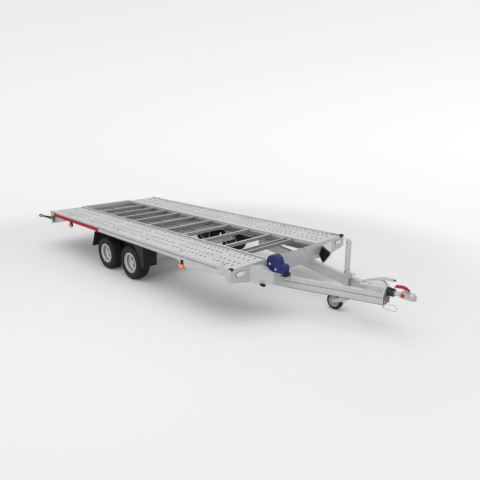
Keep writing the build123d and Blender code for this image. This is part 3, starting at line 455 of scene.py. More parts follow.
# Black for painted shade: inside the horn, under it and on the jockey tube.
CAVITY_SHADE = Moulded("cavity_black", tone(0.006), tone(0.010), (0.8, 0.95), 0.0, 20.0, 900.0, shine=0.1)
BLUE = Moulded("chock_blue", (0.016, 0.026, 0.125, 1), (0.022, 0.036, 0.16, 1), (0.5, 0.65), 0.0, 22.0, 1100.0, 0.0004,
               shine=0.25)
RED = Moulded("grip_red", (0.42, 0.006, 0.010, 1), (0.50, 0.014, 0.016, 1), (0.35, 0.5), 0.0, 30.0, 1500.0)
STUD = Finish("stud_white", tone(0.82, 0.0, -0.01), tone(0.70), (0.3, 0.45), 0.0, 60.0, 900.0, 0.0001)
SHEATH = Finish("cable_sheath", (0.52, 0.12, 0.15, 1), (0.60, 0.18, 0.20, 1), (0.3, 0.45), 0.0, 60.0, 1400.0)
AMBER = Lens("amber_lens", (0.85, 0.12, 0.010, 1), (1.0, 0.24, 0.03, 1))
RED_LENS = Lens("red_lens", (0.36, 0.006, 0.008, 1), (0.62, 0.03, 0.03, 1))
CLEAR_LENS = Lens("clear_lens", tone(0.66), tone(0.8))
RED_FILM = Film("red_film", (0.40, 0.004, 0.012, 1), (0.46, 0.012, 0.022, 1))
# Darker red film: painted shade on the tape's rear end.
RED_FILM_SHADE = Film("wine_film", (0.20, 0.004, 0.02, 1), (0.26, 0.008, 0.03, 1))


# ---------------------------------------------------------------- placements
def at(x: float, y: float, z: float) -> Matrix:
    """Placement that moves a part and doesn't turn it."""
    return Matrix.Translation((x, y, z))


def along(x: float, y: float = 0.0, z: float = 0.0) -> Matrix:
    """Placement of an outline in y and z that is raised along x."""
    return at(x, y, z) @ LENGTHWISE


def upright(x: float, y: float = 0.0, z: float = 0.0) -> Matrix:
    """Placement of an outline in x and z that is raised along y."""
    return at(x, y, z) @ CROSSWISE


def aimed(position: Point, axis: Point = UP) -> Matrix:
    """Placement that puts a part's origin at a position and its Z along an axis."""
    return Matrix.Translation(Vector(position)) @ Vector(axis).to_track_quat("Z", "Y").to_matrix().to_4x4()


def placed(name: str, data: bpy.types.ID) -> bpy.types.Object:
    """Put a new object into the scene.

    Args:
        name: The object's name.
        data: Its mesh, curve, camera or lamp.

    Returns:
        The object.
    """
    thing = bpy.data.objects.new(name, data)
    bpy.context.scene.collection.objects.link(thing)
    return thing


# ---------------------------------------------------------------- mesh workshop
def spun(profile: Sequence[Pair], steps: int, closed: bool = True) -> Mesh:
    """Turn a profile about the Z axis.

    Args:
        profile: Points as radius and height.
        steps: Steps in the full turn.
        closed: Whether the last point joins the first.

    Returns:
        A closed mesh.
    """
    part = bmesh.new()
    points = [part.verts.new((radius, 0, height)) for radius, height in profile]
    pairs = list(zip(points, points[1:])) + ([(points[-1], points[0])] if closed else [])
    edges = [part.edges.new(pair) for pair in pairs]
    bmesh.ops.spin(part, geom=points + edges, cent=(0, 0, 0), axis=UP, angle=math.tau, steps=steps, use_merge=True)
    bmesh.ops.remove_doubles(part, verts=part.verts[:], dist=1e-6)
    bmesh.ops.dissolve_degenerate(part, edges=part.edges[:], dist=1e-7)
    bmesh.ops.recalc_face_normals(part, faces=part.faces[:])
    return part


def rounded(part: Mesh, width: float, segments: int = 2, sharpest: float = 30.0) -> Mesh:
    """Round off a part's sharp edges.

    Args:
        part: The mesh to work on.
        width: How far the rounding reaches from each edge.
        segments: Steps across it.
        sharpest: Edges that turn by more than this, in degrees, are rounded.

    Returns:
        The same mesh.
    """
    edges = [edge for edge in part.edges if edge.is_manifold and edge.calc_face_angle(0) > math.radians(sharpest)]
    bmesh.ops.bevel(part, geom=edges, offset=width, offset_type="OFFSET", affect="EDGES", segments=segments,
                    profile=0.5, material=-1, clamp_overlap=True)
    return part


def block(size: Point, width: float = 0.0, segments: int = 2) -> Mesh:
    """A block around the origin.

    Args:
        size: Its length along each axis.
        width: Rounding of its edges.
        segments: Steps across the rounding.

    Returns:
        A closed mesh.
    """
    part = bmesh.new()
    bmesh.ops.create_cube(part, size=1.0)
    bmesh.ops.scale(part, vec=size, verts=part.verts[:])
    return rounded(part, width, segments) if width else part


def raised(corners: Iterable[Point], away: Point) -> Mesh:
    """A flat outline raised along a vector.

    Args:
        corners: Corner points of one plane, in order.
        away: Where the outline is raised to.

    Returns:
        A closed mesh.
    """
    part = bmesh.new()
    face = part.faces.new([part.verts.new(corner) for corner in corners])
    grown = bmesh.ops.extrude_face_region(part, geom=[face], use_keep_orig=True)["geom"]
    bmesh.ops.translate(part, vec=away, verts=[item for item in grown if isinstance(item, bmesh.types.BMVert)])
    bmesh.ops.recalc_face_normals(part, faces=part.faces[:])
    return part


def prism(outline: Iterable[Pair], height: float, width: float = 0.0) -> Mesh:
    """A flat outline in the XY plane raised along Z, with edges rounded by a width."""
    part = raised([(x, y, 0) for x, y in outline], (0, 0, height))
    return rounded(part, width) if width else part


def sheet(corners: Sequence[Point], thickness: float, inside: Point) -> Mesh:
    """A flat sheet of metal with its outer face on the given corners.

    Args:
        corners: Corner points of one plane, in order.
        thickness: How thick the metal is.
        inside: A point on the side the metal thickens to.

    Returns:
        A closed mesh in place.
    """
    normal = geometry.normal(*(Vector(corner) for corner in corners))
    return raised(corners, normal * math.copysign(thickness, (Vector(inside) - Vector(corners[0])).dot(normal)))


def coloured(part: Mesh, rule: Callable[[bmesh.types.BMFace], int]) -> Mesh:
    """Give each face a material number.

    Args:
        part: The mesh to work on.
        rule: The material number of a face.

    Returns:
        The same mesh.
    """
    for face in part.faces:
        face.material_index = rule(face)
    return part


@dataclass(frozen=True)
class HexBolt:
    """A hexagon head that stands on Z = 0, on a washer."""

    across: float
    height: float
    washer: float
    washer_share: float = 0.22
    washer_taper: float = 0.97
    chamfer_share: float = 0.08

    def mesh(self) -> Mesh:
        """The head and its washer as a closed mesh."""
        part = bmesh.new()
        base = self.height * self.washer_share
        bmesh.ops.create_cone(part, cap_ends=True, segments=20, radius1=self.washer,
                              radius2=self.washer * self.washer_taper, depth=base, matrix=at(0, 0, base / 2))
        corner = self.across / 1.732
        head = bmesh.ops.create_cone(part, cap_ends=True, segments=6, radius1=corner, radius2=corner,
                                     depth=self.height, matrix=at(0, 0, base + self.height / 2))
        top = {edge for vert in head["verts"] for edge in vert.link_edges
               if min(end.co.z for end in edge.verts) > base + self.height * 0.9}
        bmesh.ops.bevel(part, geom=list(top), offset=self.across * self.chamfer_share, offset_type="OFFSET",
                        affect="EDGES", segments=1, profile=0.5, material=-1)
        return part


class Workpiece:
    """A piece under construction in frame metres, built up from parts."""

    def __init__(self, name: str) -> None:
        """Start a piece under its object's name."""
        self.name = name
        self.mesh = bmesh.new()

    def add(self, part: Mesh, *places: Matrix) -> "Workpiece":
        """Set a part into the piece, then discard the loose part.

        Args:
            part: The part's mesh.
            places: Where it goes, once for each; in place if none is given.

        Returns:
            The piece.
        """
        for place in places or (Matrix.Identity(4),):
            shape = bpy.data.meshes.new("part")
            part.to_mesh(shape)
            shape.transform(place)
            if place.determinant() < 0:
                shape.flip_normals()
            self.mesh.from_mesh(shape)
            bpy.data.meshes.remove(shape)
        part.free()
        return self

    def mirrored(self) -> "Workpiece":
        """Repeat the whole piece on the other side of the trailer's middle plane."""
        return self.add(self.mesh.copy(), Matrix.Scale(-1, 4, ACROSS))

    def finished(self, slot: Slot, *finishes: Finish, body: Body | str = Body.CHASSIS, crease: float = 32.0,
                 replaces: str = "") -> None:
        """Close the piece: make its object, shade it, and set it on its body.

        Args:
            slot: The record's slot; it is not used.
            finishes: Its surfaces, in the order of its faces' material numbers.
            body: The body that it rides on.
            crease: Edges sharper than this, in degrees, stay crisp.
            replaces: The CAD node that it stands for.
        """
        shape = bpy.data.meshes.new(self.name)
        self.mesh.to_mesh(shape)
        self.mesh.free()
        shape.shade_smooth()
        shape.set_sharp_from_angle(angle=math.radians(crease))
        for finish in finishes:
            shape.materials.append(finish.material())
        piece = placed(self.name, shape)
        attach(piece, body.value if isinstance(body, Body) else body)
        if replaces:
            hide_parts(replaces)
        log.info("%s: %d faces", self.name, len(shape.polygons))


def paired_strip(name: str, section: Sequence[Pair], start: float, end: float, slot: Slot, finish: Finish) -> None:
    """Thin strip along both sides of the trailer.

    Args:
        name: The piece's name.
        section: Its outline in y and z, on the left side.
        start: Frame x of its rear end.
        end: Frame x of its front end.
        slot: The record's slot, passed on to the piece.
        finish: Its surface.
    """
    Workpiece(name).add(prism(section, end - start), along(start)).mirrored().finished(slot, finish)


# ---------------------------------------------------------------- places
@dataclass(frozen=True)
class Layout:
    """Places that the pieces are set out from, read from the frame."""

    deck_front: float
    deck_rear: float
    half_width: float
    deck_top: float
    walk_top: float
    deck_inner: float
    drawbar_top: float
    wheel_centre: dict[tuple[Axle, Side], Vector]

    @classmethod
    def measured(cls) -> "Layout":
        """Read the places from the frame's boxes."""
        rail_low, rail_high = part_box("side_rail_left")
        plank_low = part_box("runway_left")[0]
        tyres = {(axle, side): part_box(f"tyre_{axle.value}_{side.label}") for axle in Axle for side in Side}
        return cls(
            deck_front=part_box("corner_caps")[1].x,
            deck_rear=rail_low.x,
            half_width=rail_high.y,
            deck_top=rail_high.z,
            walk_top=plank_low.z + RUNWAY_SHEET,
            deck_inner=plank_low.y,
            drawbar_top=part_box("drawbar_beam_left")[1].z,
            wheel_centre={key: (low + high) / 2 for key, (low, high) in tyres.items()},
        )

    def ahead(self, distance: float) -> float:
        """Frame x of a place that lies a distance ahead of the deck's front edge."""
        return self.deck_front + distance


# ---------------------------------------------------------------- studio
@dataclass
class Studio:
    """Pale floor, soft light and the camera."""

    camera_place: Point = (4.6892, -4.0304, 2.0905)
    camera_aim: Point = (-0.6876, 0.6797, -0.2554)
    lens: float = 33.125
    sensor: float = 36.0
    view_end: float = 400.0
    floor_size: float = 160.0
    floor_tone: float = 0.81
    floor_roughness: float = 0.9
    floor_shine: float = 0.1
    plain: Pair = (0.84, 0.88)
    glow: Pair = (0.90, 1.0)
    glow_turn: Pair = (-0.48, 0.48)
    glow_reach: float = 0.32
    skyline: float = 0.04
    blend_centre: Point = (-0.9, 0.0, 0.0)
    blend_reach: Pair = (3.3, 5.8)
    sky_strength: float = 0.745
    sky_warmth: float = -0.004
    lamp_aim: Point = (0.0, 0.0, 0.4)
    above_place: Point = (0.6, -1.3, 7.5)
    above_size: float = 8.0
    above_energy: float = 228.0
    right_place: Point = (3.0, -7.0, 4.0)
    right_size: float = 5.0
    right_energy: float = 57.0

    def camera(self) -> None:
        """Set the camera at the viewing angle."""
        data = bpy.data.cameras.new("camera")
        data.lens = self.lens
        data.sensor_width = self.sensor
        data.clip_end = self.view_end
        camera = placed("camera", data)
        camera.location = self.camera_place
        camera.rotation_euler = Vector(self.camera_aim).to_track_quat("-Z", "Y").to_euler()
        bpy.context.scene.camera = camera

    def backdrop(self, graph: Graph, direction: Socket) -> Socket:
        """Background colour by direction: brighter to the right and near the skyline.

        Args:
            graph: The graph that shows it.
            direction: Where a ray goes, as a unit vector.

        Returns:
            The colour's socket.
        """
        right = Vector(self.camera_aim).cross(UP).normalized()
        turn = graph.vector("DOT_PRODUCT", {0: direction, 1: right}, "Value")
        share = graph.span(turn, 0.0, 1.0, *self.glow_turn)
        height = graph.add("ShaderNodeSeparateXYZ", Vector=direction).outputs["Z"]
        off = graph.maths("ABSOLUTE", graph.maths("ADD", height, self.skyline), 0.0)
        near = graph.span(off, 0.0, 1.0, self.glow_reach, 0.0, "SMOOTHSTEP")
        return graph.mixed(near, graph.mixed(share, *map(tone, self.plain)), graph.mixed(share, *map(tone, self.glow)))

    def shown(self, graph: Graph) -> Socket:
        """Tell the rays that see the background: the camera's, and those in metal and glass.

        Args:
            graph: The graph that shows it.

        Returns:
            A socket that is one for those rays, and zero for the others.
        """
        path = graph.add("ShaderNodeLightPath").outputs
        seen = graph.maths("MAXIMUM", path["Is Camera Ray"], path["Is Glossy Ray"])
        return graph.maths("MAXIMUM", seen, path["Is Transmission Ray"])

    def floor(self) -> None:
        """Wide floor that keeps the shadow near the trailer and fades into the background."""
        part = bmesh.new()
        bmesh.ops.create_grid(part, x_segments=8, y_segments=8, size=self.floor_size / 2)
        shape = bpy.data.meshes.new("floor")
        part.to_mesh(shape)
        part.free()
        shape.materials.append(bpy.data.materials.new("floor"))
        graph = Graph(shape.materials[0])
        graph.surface(Base_Color=tone(self.floor_tone), Roughness=self.floor_roughness,
                      Specular_IOR_Level=self.floor_shine)
        length = graph.vector("DISTANCE", {0: graph.place, 1: Vector(self.blend_centre)}, "Value")
        away = graph.span(length, 0.0, 1.0, *self.blend_reach, "SMOOTHSTEP")
        towards = graph.vector("SUBTRACT", {0: graph.place, 1: Vector(self.camera_place)})
        colour = self.backdrop(graph, graph.vector("NORMALIZE", {0: towards}))
        glow = graph.add("ShaderNodeEmission", Color=colour, Strength=1.0).outputs[0]
        blend = graph.blended(graph.maths("MULTIPLY", away, self.shown(graph)), graph.shader.outputs[0], glow)
        graph.fill(graph.tree.nodes["Material Output"].inputs["Surface"], blend)
        placed("floor", shape)

    def sky(self) -> None:
        """Even soft light from all round, behind a background of its own."""
        world = bpy.data.worlds.new("sky")
        bpy.context.scene.world = world
        graph = Graph(world)
        direction = graph.add("ShaderNodeTexCoord").outputs["Generated"]
        light = graph.tree.nodes["Background"]
        light.inputs["Color"].default_value = tone(1.0, self.sky_warmth)
        light.inputs["Strength"].default_value = self.sky_strength
        seen = graph.add("ShaderNodeBackground", Color=self.backdrop(graph, direction), Strength=1.0).outputs[0]
        blend = graph.blended(self.shown(graph), light.outputs[0], seen)
        graph.fill(graph.tree.nodes["World Output"].inputs["Surface"], blend)

    def lamp(self, name: str, place: Point, size: float, energy: float) -> None:
        """Hang one large soft lamp that points at the middle of the deck.

        Args:
            name: The lamp's name.
            place: Where it hangs.
            size: Length of its side.
            energy: Its power in watts.
        """
        data = bpy.data.lights.new(name, "AREA")
        data.size = size
        data.energy = energy
        lamp = placed(name, data)
        lamp.location = place
        lamp.rotation_euler = (Vector(self.lamp_aim) - Vector(place)).to_track_quat("-Z", "Y").to_euler()

    def build(self) -> None:
        """Set up the whole studio."""
        self.camera()
        self.sky()
        self.floor()
        self.lamp("lamp_above", self.above_place, self.above_size, self.above_energy)
        self.lamp("lamp_right", self.right_place, self.right_size, self.right_energy)
        bpy.context.scene.view_settings.view_transform = "Standard"


# ---------------------------------------------------------------- breakaway cable
@dataclass
class BreakawayCable:
    """Sheathed wire in a loop below the drawbar's end plate."""

    length: float = 0.331
    diameter: float = 0.004
    route: tuple[Point, ...] = (
        (2.7435, -0.062, 0.303), (2.7675, -0.060, 0.310), (2.8035, -0.056, 0.324), (2.8455, -0.050, 0.328),
        (2.8775, -0.044, 0.318), (2.8935, -0.040, 0.291), (2.8755, -0.042, 0.267), (2.8415, -0.046, 0.261),
        (2.8015, -0.050, 0.261), (2.7675, -0.054, 0.267), (2.7435, -0.056, 0.276),
    )

    def build(self) -> None:
        curve = bpy.data.curves.new("breakaway_wire", "CURVE")
        curve.dimensions = "3D"
        curve.bevel_depth = self.diameter / 2
        curve.bevel_resolution = 4
        curve.use_fill_caps = True
        curve.resolution_u = 12
        spline = curve.splines.new("NURBS")
        spline.points.add(len(self.route) - 1)
        for point, place in zip(spline.points, self.route):
            point.co = (*place, 1.0)
        spline.order_u = 3
        spline.use_endpoint_u = True
        curve.materials.append(SHEATH.material())
        wire = placed("breakaway_wire", curve)
        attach(wire, Body.CHASSIS.value)
        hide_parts("breakaway_cable")
        log.info("breakaway_wire: %d points", len(self.route))


# ---------------------------------------------------------------- deck
@dataclass
class Deck:
    """Perforated runways, lashing tongues and side stripes; distances run back from the deck's front edge."""

    places: Layout
    hole_rows: tuple[float, ...] = (0.155, 0.260, 0.405, 0.510)
    first_hole: float = 0.140
    hole_pitch: float = 0.075
    end_room: float = 0.06
    group: int = 10
    first_gap: int = 5
    hole_half: Pair = (0.0110, 0.0205)
    hole_depth: float = 0.0130
    hole_flare: float = 0.0015
    inset: float = 0.0005
    collar: float = 0.0035
    collar_rise: float = 0.0022
    margin: float = 0.0035
    rim_width: float = 0.020
    flange_bottom: float = 0.577
    fold: float = 0.001
    film: Pair = (-0.0002, 0.0006)
    stripe_front: float = 2.84
    stripe_rear: float = 4.36
    stripe_heights: Pair = (0.5405, 0.5960)
    end_heights: Pair = (0.5405, 0.612)
    end_film: Pair = (-0.0002, 0.0008)
    end_length: float = 0.055
    # Outline of the painted shadow in the rails' grooves, and where it stops short of the front.
    joint: Outline = ((-0.0052, 0.5975), (-0.0052, 0.5895), (-0.0012, 0.5905), (-0.0012, 0.5965))
    joint_front: float = 0.21
    # Outline of the painted shade on the rims' outer walls.
    rim_wall: Outline = ((-0.0005, 0.6225), (-0.0005, 0.6103), (0.0007, 0.6100), (0.0007, 0.6220))
    wall_ends: Pair = (0.001, 0.003)
    shade_ends: Pair = (0.001, 0.005)
    shade_width: float = 0.0075
    shade_height: float = 0.0012
    shade_off: float = 0.0055
    eyes: tuple[float, ...] = (0.24, 0.99, 1.74, 2.49, 3.24, 3.99)
    eye_y: float = 0.965
    eye_slot: Point = (0.040, 0.026, 0.0006)
    eye_lip: Point = (0.044, 0.040, 0.0028)
    eye_sunk: float = 0.0005
    eye_turn: float = 230.0
    eye_steps: int = 14

    @property
    def reach(self) -> Pair:
        """Half size of the grid cell round each hole, in x and y."""
        return tuple(half + self.collar + self.margin for half in self.hole_half)

    def hole_columns(self, low: float) -> list[float]:
        """Frame x of each row of holes, leaving out every tenth place.

        Args:
            low: Frame x of the plank's rear end.

        Returns:
            The rows, from the rear.
        """
        columns = []
        index = 0
        while (x := self.places.ahead(-self.first_hole - index * self.hole_pitch)) > low + self.end_room:
            if (index - self.first_gap) % self.group:
                columns.append(x)
            index += 1
        return sorted(columns)

    def grid_lines(self, centres: Iterable[float], half: float, ends: Iterable[float]) -> list[float]:
        """Four grid lines round each hole's centre, and the ends."""
        inner = half / 3
        return sorted({*ends, *(c + step for c in centres for step in (-half, -inner, inner, half))})

    def runway(self, side: Side) -> None:
        """One plank with raised oval holes and a box rim along its inner edge; the holes' sunk walls take painted shade
        and the rim a painted highlight.

        Args:
            side: Which plank.
        """
        low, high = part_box(f"runway_{side.label}")
        outer = -self.places.half_width if side is Side.RIGHT else low.y
        rows = [outer + row for row in self.hole_rows]
        columns = self.hole_columns(low.x)
        xs = self.grid_lines(columns, self.reach[0], (low.x, high.x))
        ys = self.grid_lines(rows, self.reach[1], (low.y, high.y))
        plank = bmesh.new()
        bmesh.ops.create_grid(plank, x_segments=len(xs) - 1, y_segments=len(ys) - 1, size=0.5)
        for vert in plank.verts:
            column = round((vert.co.x + 0.5) * (len(xs) - 1))
            row = round((vert.co.y + 0.5) * (len(ys) - 1))
            vert.co = (xs[column], ys[row], self.places.walk_top)
        cells = [(face, face.calc_center_median()) for face in plank.faces]
        for x in columns:
            for y in rows:
                self.punch(plank, cells, x, y)
        bmesh.ops.recalc_face_normals(plank, faces=plank.faces[:])
        if sum(face.normal.z for face in plank.faces) < 0:
            bmesh.ops.reverse_faces(plank, faces=plank.faces[:])
        bmesh.ops.solidify(plank, geom=plank.faces[:], thickness=RUNWAY_SHEET)
        length = high.x - low.x
        edge = high.y - self.rim_width if side is Side.RIGHT else low.y
        # The rim takes the lighter zinc: a painted highlight.
        lip = coloured(self.rim(edge, low.z, length), lambda face: 2)
        top = low.z + self.fold
        flange = block((length, RUNWAY_SHEET, top - self.flange_bottom), Edge.FLANGE)
        y = side.value * (self.places.deck_inner + RUNWAY_SHEET / 2)
        piece = Workpiece(f"perforated_runway_{side.label}").add(plank).add(lip, along(low.x))
        piece.add(flange, at((low.x + high.x) / 2, y, (self.flange_bottom + top) / 2))
        piece.finished(Slot.GALVANISED, ZINC, ZINC_PAINTED_SHADE, ZINC_PALE_LIT, replaces=f"runway_{side.label}")

    def rim(self, near: float, bottom: float, length: float) -> Mesh:
        """Folded box rim along the plank's inner edge, open below.

        Args:
            near: Its edge with the lower y.
            bottom: Height of its lower edges.
            length: How long it is.

        Returns:
            A closed mesh, along Z.
        """
        far, top, wall = near + self.rim_width, self.places.deck_top, RUNWAY_SHEET
        outline = (
            (near, bottom), (near + wall, bottom), (near + wall, top - wall), (far - wall, top - wall),
            (far - wall, bottom), (far, bottom), (far, top), (near, top),
        )
        return prism(outline, length, Edge.RIM)

    def punch(self, plank: Mesh, cells: Sequence[tuple], x: float, y: float) -> None:
        """Turn the nine grid faces round a centre into a raised oval hole, whose sunk walls take painted shade.

        Args:
            plank: The plank's mesh.
            cells: Its grid faces, each with its middle.
            x: Frame x of the hole's centre.
            y: Frame y of the hole's centre.
        """
        half, reach = self.hole_half, self.reach
        cell = [face for face, middle in cells if abs(middle.x - x) < reach[0] and abs(middle.y - y) < reach[1]]
        merged = bmesh.ops.dissolve_faces(plank, faces=cell, use_verts=False)["region"][0]
        # The last, sunk ring of faces takes painted shade on the hole's walls.
        for spread, lift in ((self.collar, 0.0), (0.0, self.collar_rise), (-self.hole_flare, -self.hole_depth)):
            for face in bmesh.ops.inset_individual(plank, faces=[merged], thickness=self.inset)["faces"]:
                face.material_index = int(lift < 0)
            for vert in merged.verts:
                way = Vector(((vert.co.x - x) / reach[0], (vert.co.y - y) / reach[1])).normalized()
                vert.co = (x + way.x * (half[0] + spread), y + way.y * (half[1] + spread), self.places.walk_top + lift)
        bmesh.ops.delete(plank, geom=[merged], context="FACES_ONLY")

    def tape(self, name: str, film: Pair, heights: Pair, ends: Pair, finish: Finish) -> None:
        """Reflective tape on both side rails.

        Args:
            name: The piece's name.
            film: Its inner and outer faces, off the rail's face.
            heights: Its lower and upper edges.
            ends: Frame x of its ends.
            finish: Its surface.
        """
        sunk, proud = (self.places.half_width + off for off in film)
        low, high = heights
        paired_strip(name, ((sunk, high), (sunk, low), (proud, low), (proud, high)), *ends, Slot.RED, finish)

    def strips(self) -> None:
        """Tape along the rear of the rails with painted shade at its rear end, painted shadow in the rails' grooves,
        painted shade on the rims' outer walls and painted shade beside the rims.
        """
        rear, front = self.places.ahead(-self.stripe_rear), self.places.ahead(-self.stripe_front)
        self.tape("side_stripes", self.film, self.stripe_heights, (rear, front), RED_FILM)
        # The tape's rear end takes the darker film: painted shade.
        self.tape("side_stripe_ends", self.end_film, self.end_heights, (rear - self.end_length, rear), RED_FILM_SHADE)
        out, face = self.places.half_width, self.places.deck_inner + self.rim_width
        rear, front = self.places.deck_rear, self.places.deck_front
        # Painted shadow in the rails' grooves.
        paired_strip("rail_joints", [(out + y, z) for y, z in self.joint], rear, front - self.joint_front,
                     Slot.GALVANISED, ZINC_PAINTED_SHADE)
        # Painted shade on the rims' outer walls.
        paired_strip("rim_walls", [(face + y, z) for y, z in self.rim_wall], rear + self.wall_ends[0],
                     front - self.wall_ends[1], Slot.GALVANISED, ZINC_WALL_SHADE)
        start, end = rear + self.shade_ends[0], front - self.shade_ends[1]
        shade = block((end - start, self.shade_width, self.shade_height), Edge.SKIN)
        place = at((start + end) / 2, face + self.shade_off, self.places.walk_top)
        Workpiece("rim_shades").add(shade, place).mirrored().finished(Slot.GALVANISED, ZINC_PAINTED_SHADE)

    def lashing_eyes(self) -> None:
        """Tongues pressed out of the runways, with a dark horseshoe of painted shade for the slot round each one."""
        places = [at(self.places.ahead(-distance), self.eye_y, self.places.walk_top) for distance in self.eyes]
        # The slots are flat dark horseshoes of painted shade.
        for name, sizes, finish in (("lashing_eye_slots", self.eye_slot, ZINC_PAINTED_SHADE),
                                    ("lashing_eye_lips", self.eye_lip, ZINC)):
            Workpiece(name).add(self.horseshoe(*sizes), *places).mirrored().finished(Slot.GALVANISED, finish)

    def horseshoe(self, outer: float, inner: float, height: float) -> Mesh:
        """A flat C about the origin, open towards the rear.

        Args:
            outer: Radius of its outer edge.
            inner: Radius of its inner edge.
            height: How far it stands up.

        Returns:
            A closed mesh.
        """
        part = bmesh.new()
        turn = math.radians(self.eye_turn)
        corners = [part.verts.new((radius, 0.0, z)) for radius, z in
                   ((inner, -self.eye_sunk), (outer, -self.eye_sunk), (outer, height), (inner, height))]
        edges = [part.edges.new((corners[i - 1], corners[i])) for i in range(4)]
        bmesh.ops.rotate(part, verts=corners, cent=(0, 0, 0), matrix=Matrix.Rotation(-turn / 2, 3, "Z"))
        bmesh.ops.spin(part, geom=corners + edges, cent=(0, 0, 0), axis=UP, angle=turn, steps=self.eye_steps)
        bmesh.ops.holes_fill(part, edges=[edge for edge in part.edges if edge.is_boundary], sides=4)
        bmesh.ops.recalc_face_normals(part, faces=part.faces[:])
        return part

    def build(self) -> None:
        """Build the deck's pieces."""
        for side in Side:
            self.runway(side)
        self.strips()
        self.lashing_eyes()


@dataclass
class CrossMembers:
    """Open sections under the deck, narrower at the top, and a trough ahead; distances run back from its front edge."""

    places: Layout
    first: float = 0.810
    pitch_front: float = 0.420
    count_front: int = 6
    last: float = 0.570
    count_rear: int = 3
    length: float = 4.560
    width: float = 0.050
    top_flange: float = 0.024
    wall: float = 0.003
    trough: float = 0.465
    trough_width: float = 0.110
    trough_lip: float = 0.014

    def stations(self) -> list[float]:
        """Distance of each member behind the deck's front edge."""
        front = [self.first + self.pitch_front * index for index in range(self.count_front)]
        step = (self.length - self.last - front[-1]) / self.count_rear
        return front + [front[-1] + step * (index + 1) for index in range(self.count_rear)]

    def build(self) -> None:
        """Build the members and the trough."""
        low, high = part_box("cross_members")
        deep, wall, half, out = high.z - low.z, self.wall, self.width / 2, self.trough_width / 2
        flange, lip = half - self.top_flange, out - self.trough_lip
        member = (
            (half, 0), (half, -deep), (-half, -deep), (-half, wall - deep), (half - wall, wall - deep),
            (half - wall, -wall), (flange, -wall), (flange, 0),
        )
        tub = (
            (out, 0), (out, -deep), (-out, -deep), (-out, 0), (-lip, 0), (-lip, -wall), (wall - out, -wall),
            (wall - out, wall - deep), (out - wall, wall - deep), (out - wall, -wall), (lip, -wall), (lip, 0),
        )
        piece = Workpiece("cross_member_sections")
        # Faces that look up take the lighter zinc, a painted highlight; the others take painted shade.
        for outline, distances in ((member, self.stations()), (tub, (self.trough,))):
            part = coloured(prism(outline, high.y - low.y, Edge.SHEET), lambda face: int(face.normal.y < 0.5))
            piece.add(part, *(upright(self.places.ahead(-distance), low.y, high.z) for distance in distances))
        piece.finished(Slot.GALVANISED, ZINC_PALE_LIT, ZINC_HALF_SHADE, replaces="cross_members")


# ---------------------------------------------------------------- stowed ramps
@dataclass
class StowedRamps:
    """Two ladder ramps on runners under the deck's open middle; distances run back from its front edge."""

    places: Layout
    rear: float = 4.47
    front: float = 1.86
    inner: float = 0.030
    outer: float = 0.440
    top: float = 0.548
    depth: float = 0.046
    flange: float = 0.030
    wall: float = 0.004
    pitch: float = 0.060
    first_rung: float = 0.04
    rung_width: float = 0.036
    rung_depth: float = 0.026
    rung_wall: float = 0.003
    rung_drop: float = 0.006
    runner_y: float = 0.452
    runner_flange: float = 0.034
    runner_end: float = 0.05

    def ramp(self, side: Side) -> None:
        """One ramp: two side channels and the rungs between them.

        Args:
            side: Which side of the middle it lies on.
        """
        length = self.rear - self.front
        start = self.places.ahead(-self.rear)
        piece = Workpiece(f"stowed_ramp_{side.label}")
        low, high = sorted((side.value * self.inner, side.value * self.outer))
        deep, wall = self.depth, self.wall
        for y, turn in ((low, 1), (high, -1)):
            wide, web = self.flange * turn, wall * turn
            channel = ((0, 0), (wide, 0), (wide, -wall), (web, -wall), (web, wall - deep), (wide, wall - deep),
                       (wide, -deep), (0, -deep))
            piece.add(prism(channel, length), along(start, y, self.top))
        half, drop, skin = self.rung_width / 2, -self.rung_depth, self.rung_wall
        section = ((-half, 0), (half, 0), (half, drop), (half - skin, drop), (half - skin, -skin),
                   (skin - half, -skin), (skin - half, drop), (-half, drop))
        first = start + self.first_rung
        spots = [upright(first + index * self.pitch, low + wall, self.top - self.rung_drop)
                 for index in range(int(length / self.pitch))]
        # The ramps take zinc darkened by painted shade.
        piece.add(prism(section, high - low - 2 * wall), *spots).finished(Slot.GALVANISED, ZINC_HALF_SHADE)

    def build(self) -> None:
        """Build both ramps and the angle runners that carry them below the cross members."""
        for side in Side:
            self.ramp(side)
        start = self.places.ahead(-self.rear)
        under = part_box("cross_members")[0].z
        y, wall = self.runner_y, self.wall
        foot = self.top - self.depth - wall
        angle = ((y, under), (y, foot), (y - self.runner_flange, foot), (y - self.runner_flange, foot + wall),
                 (y - wall, foot + wall), (y - wall, under))
        end = start + self.rear - self.front + self.runner_end
        # The runners take the same painted shade.
        paired_strip("ramp_runners", angle, start, end, Slot.GALVANISED, ZINC_HALF_SHADE)


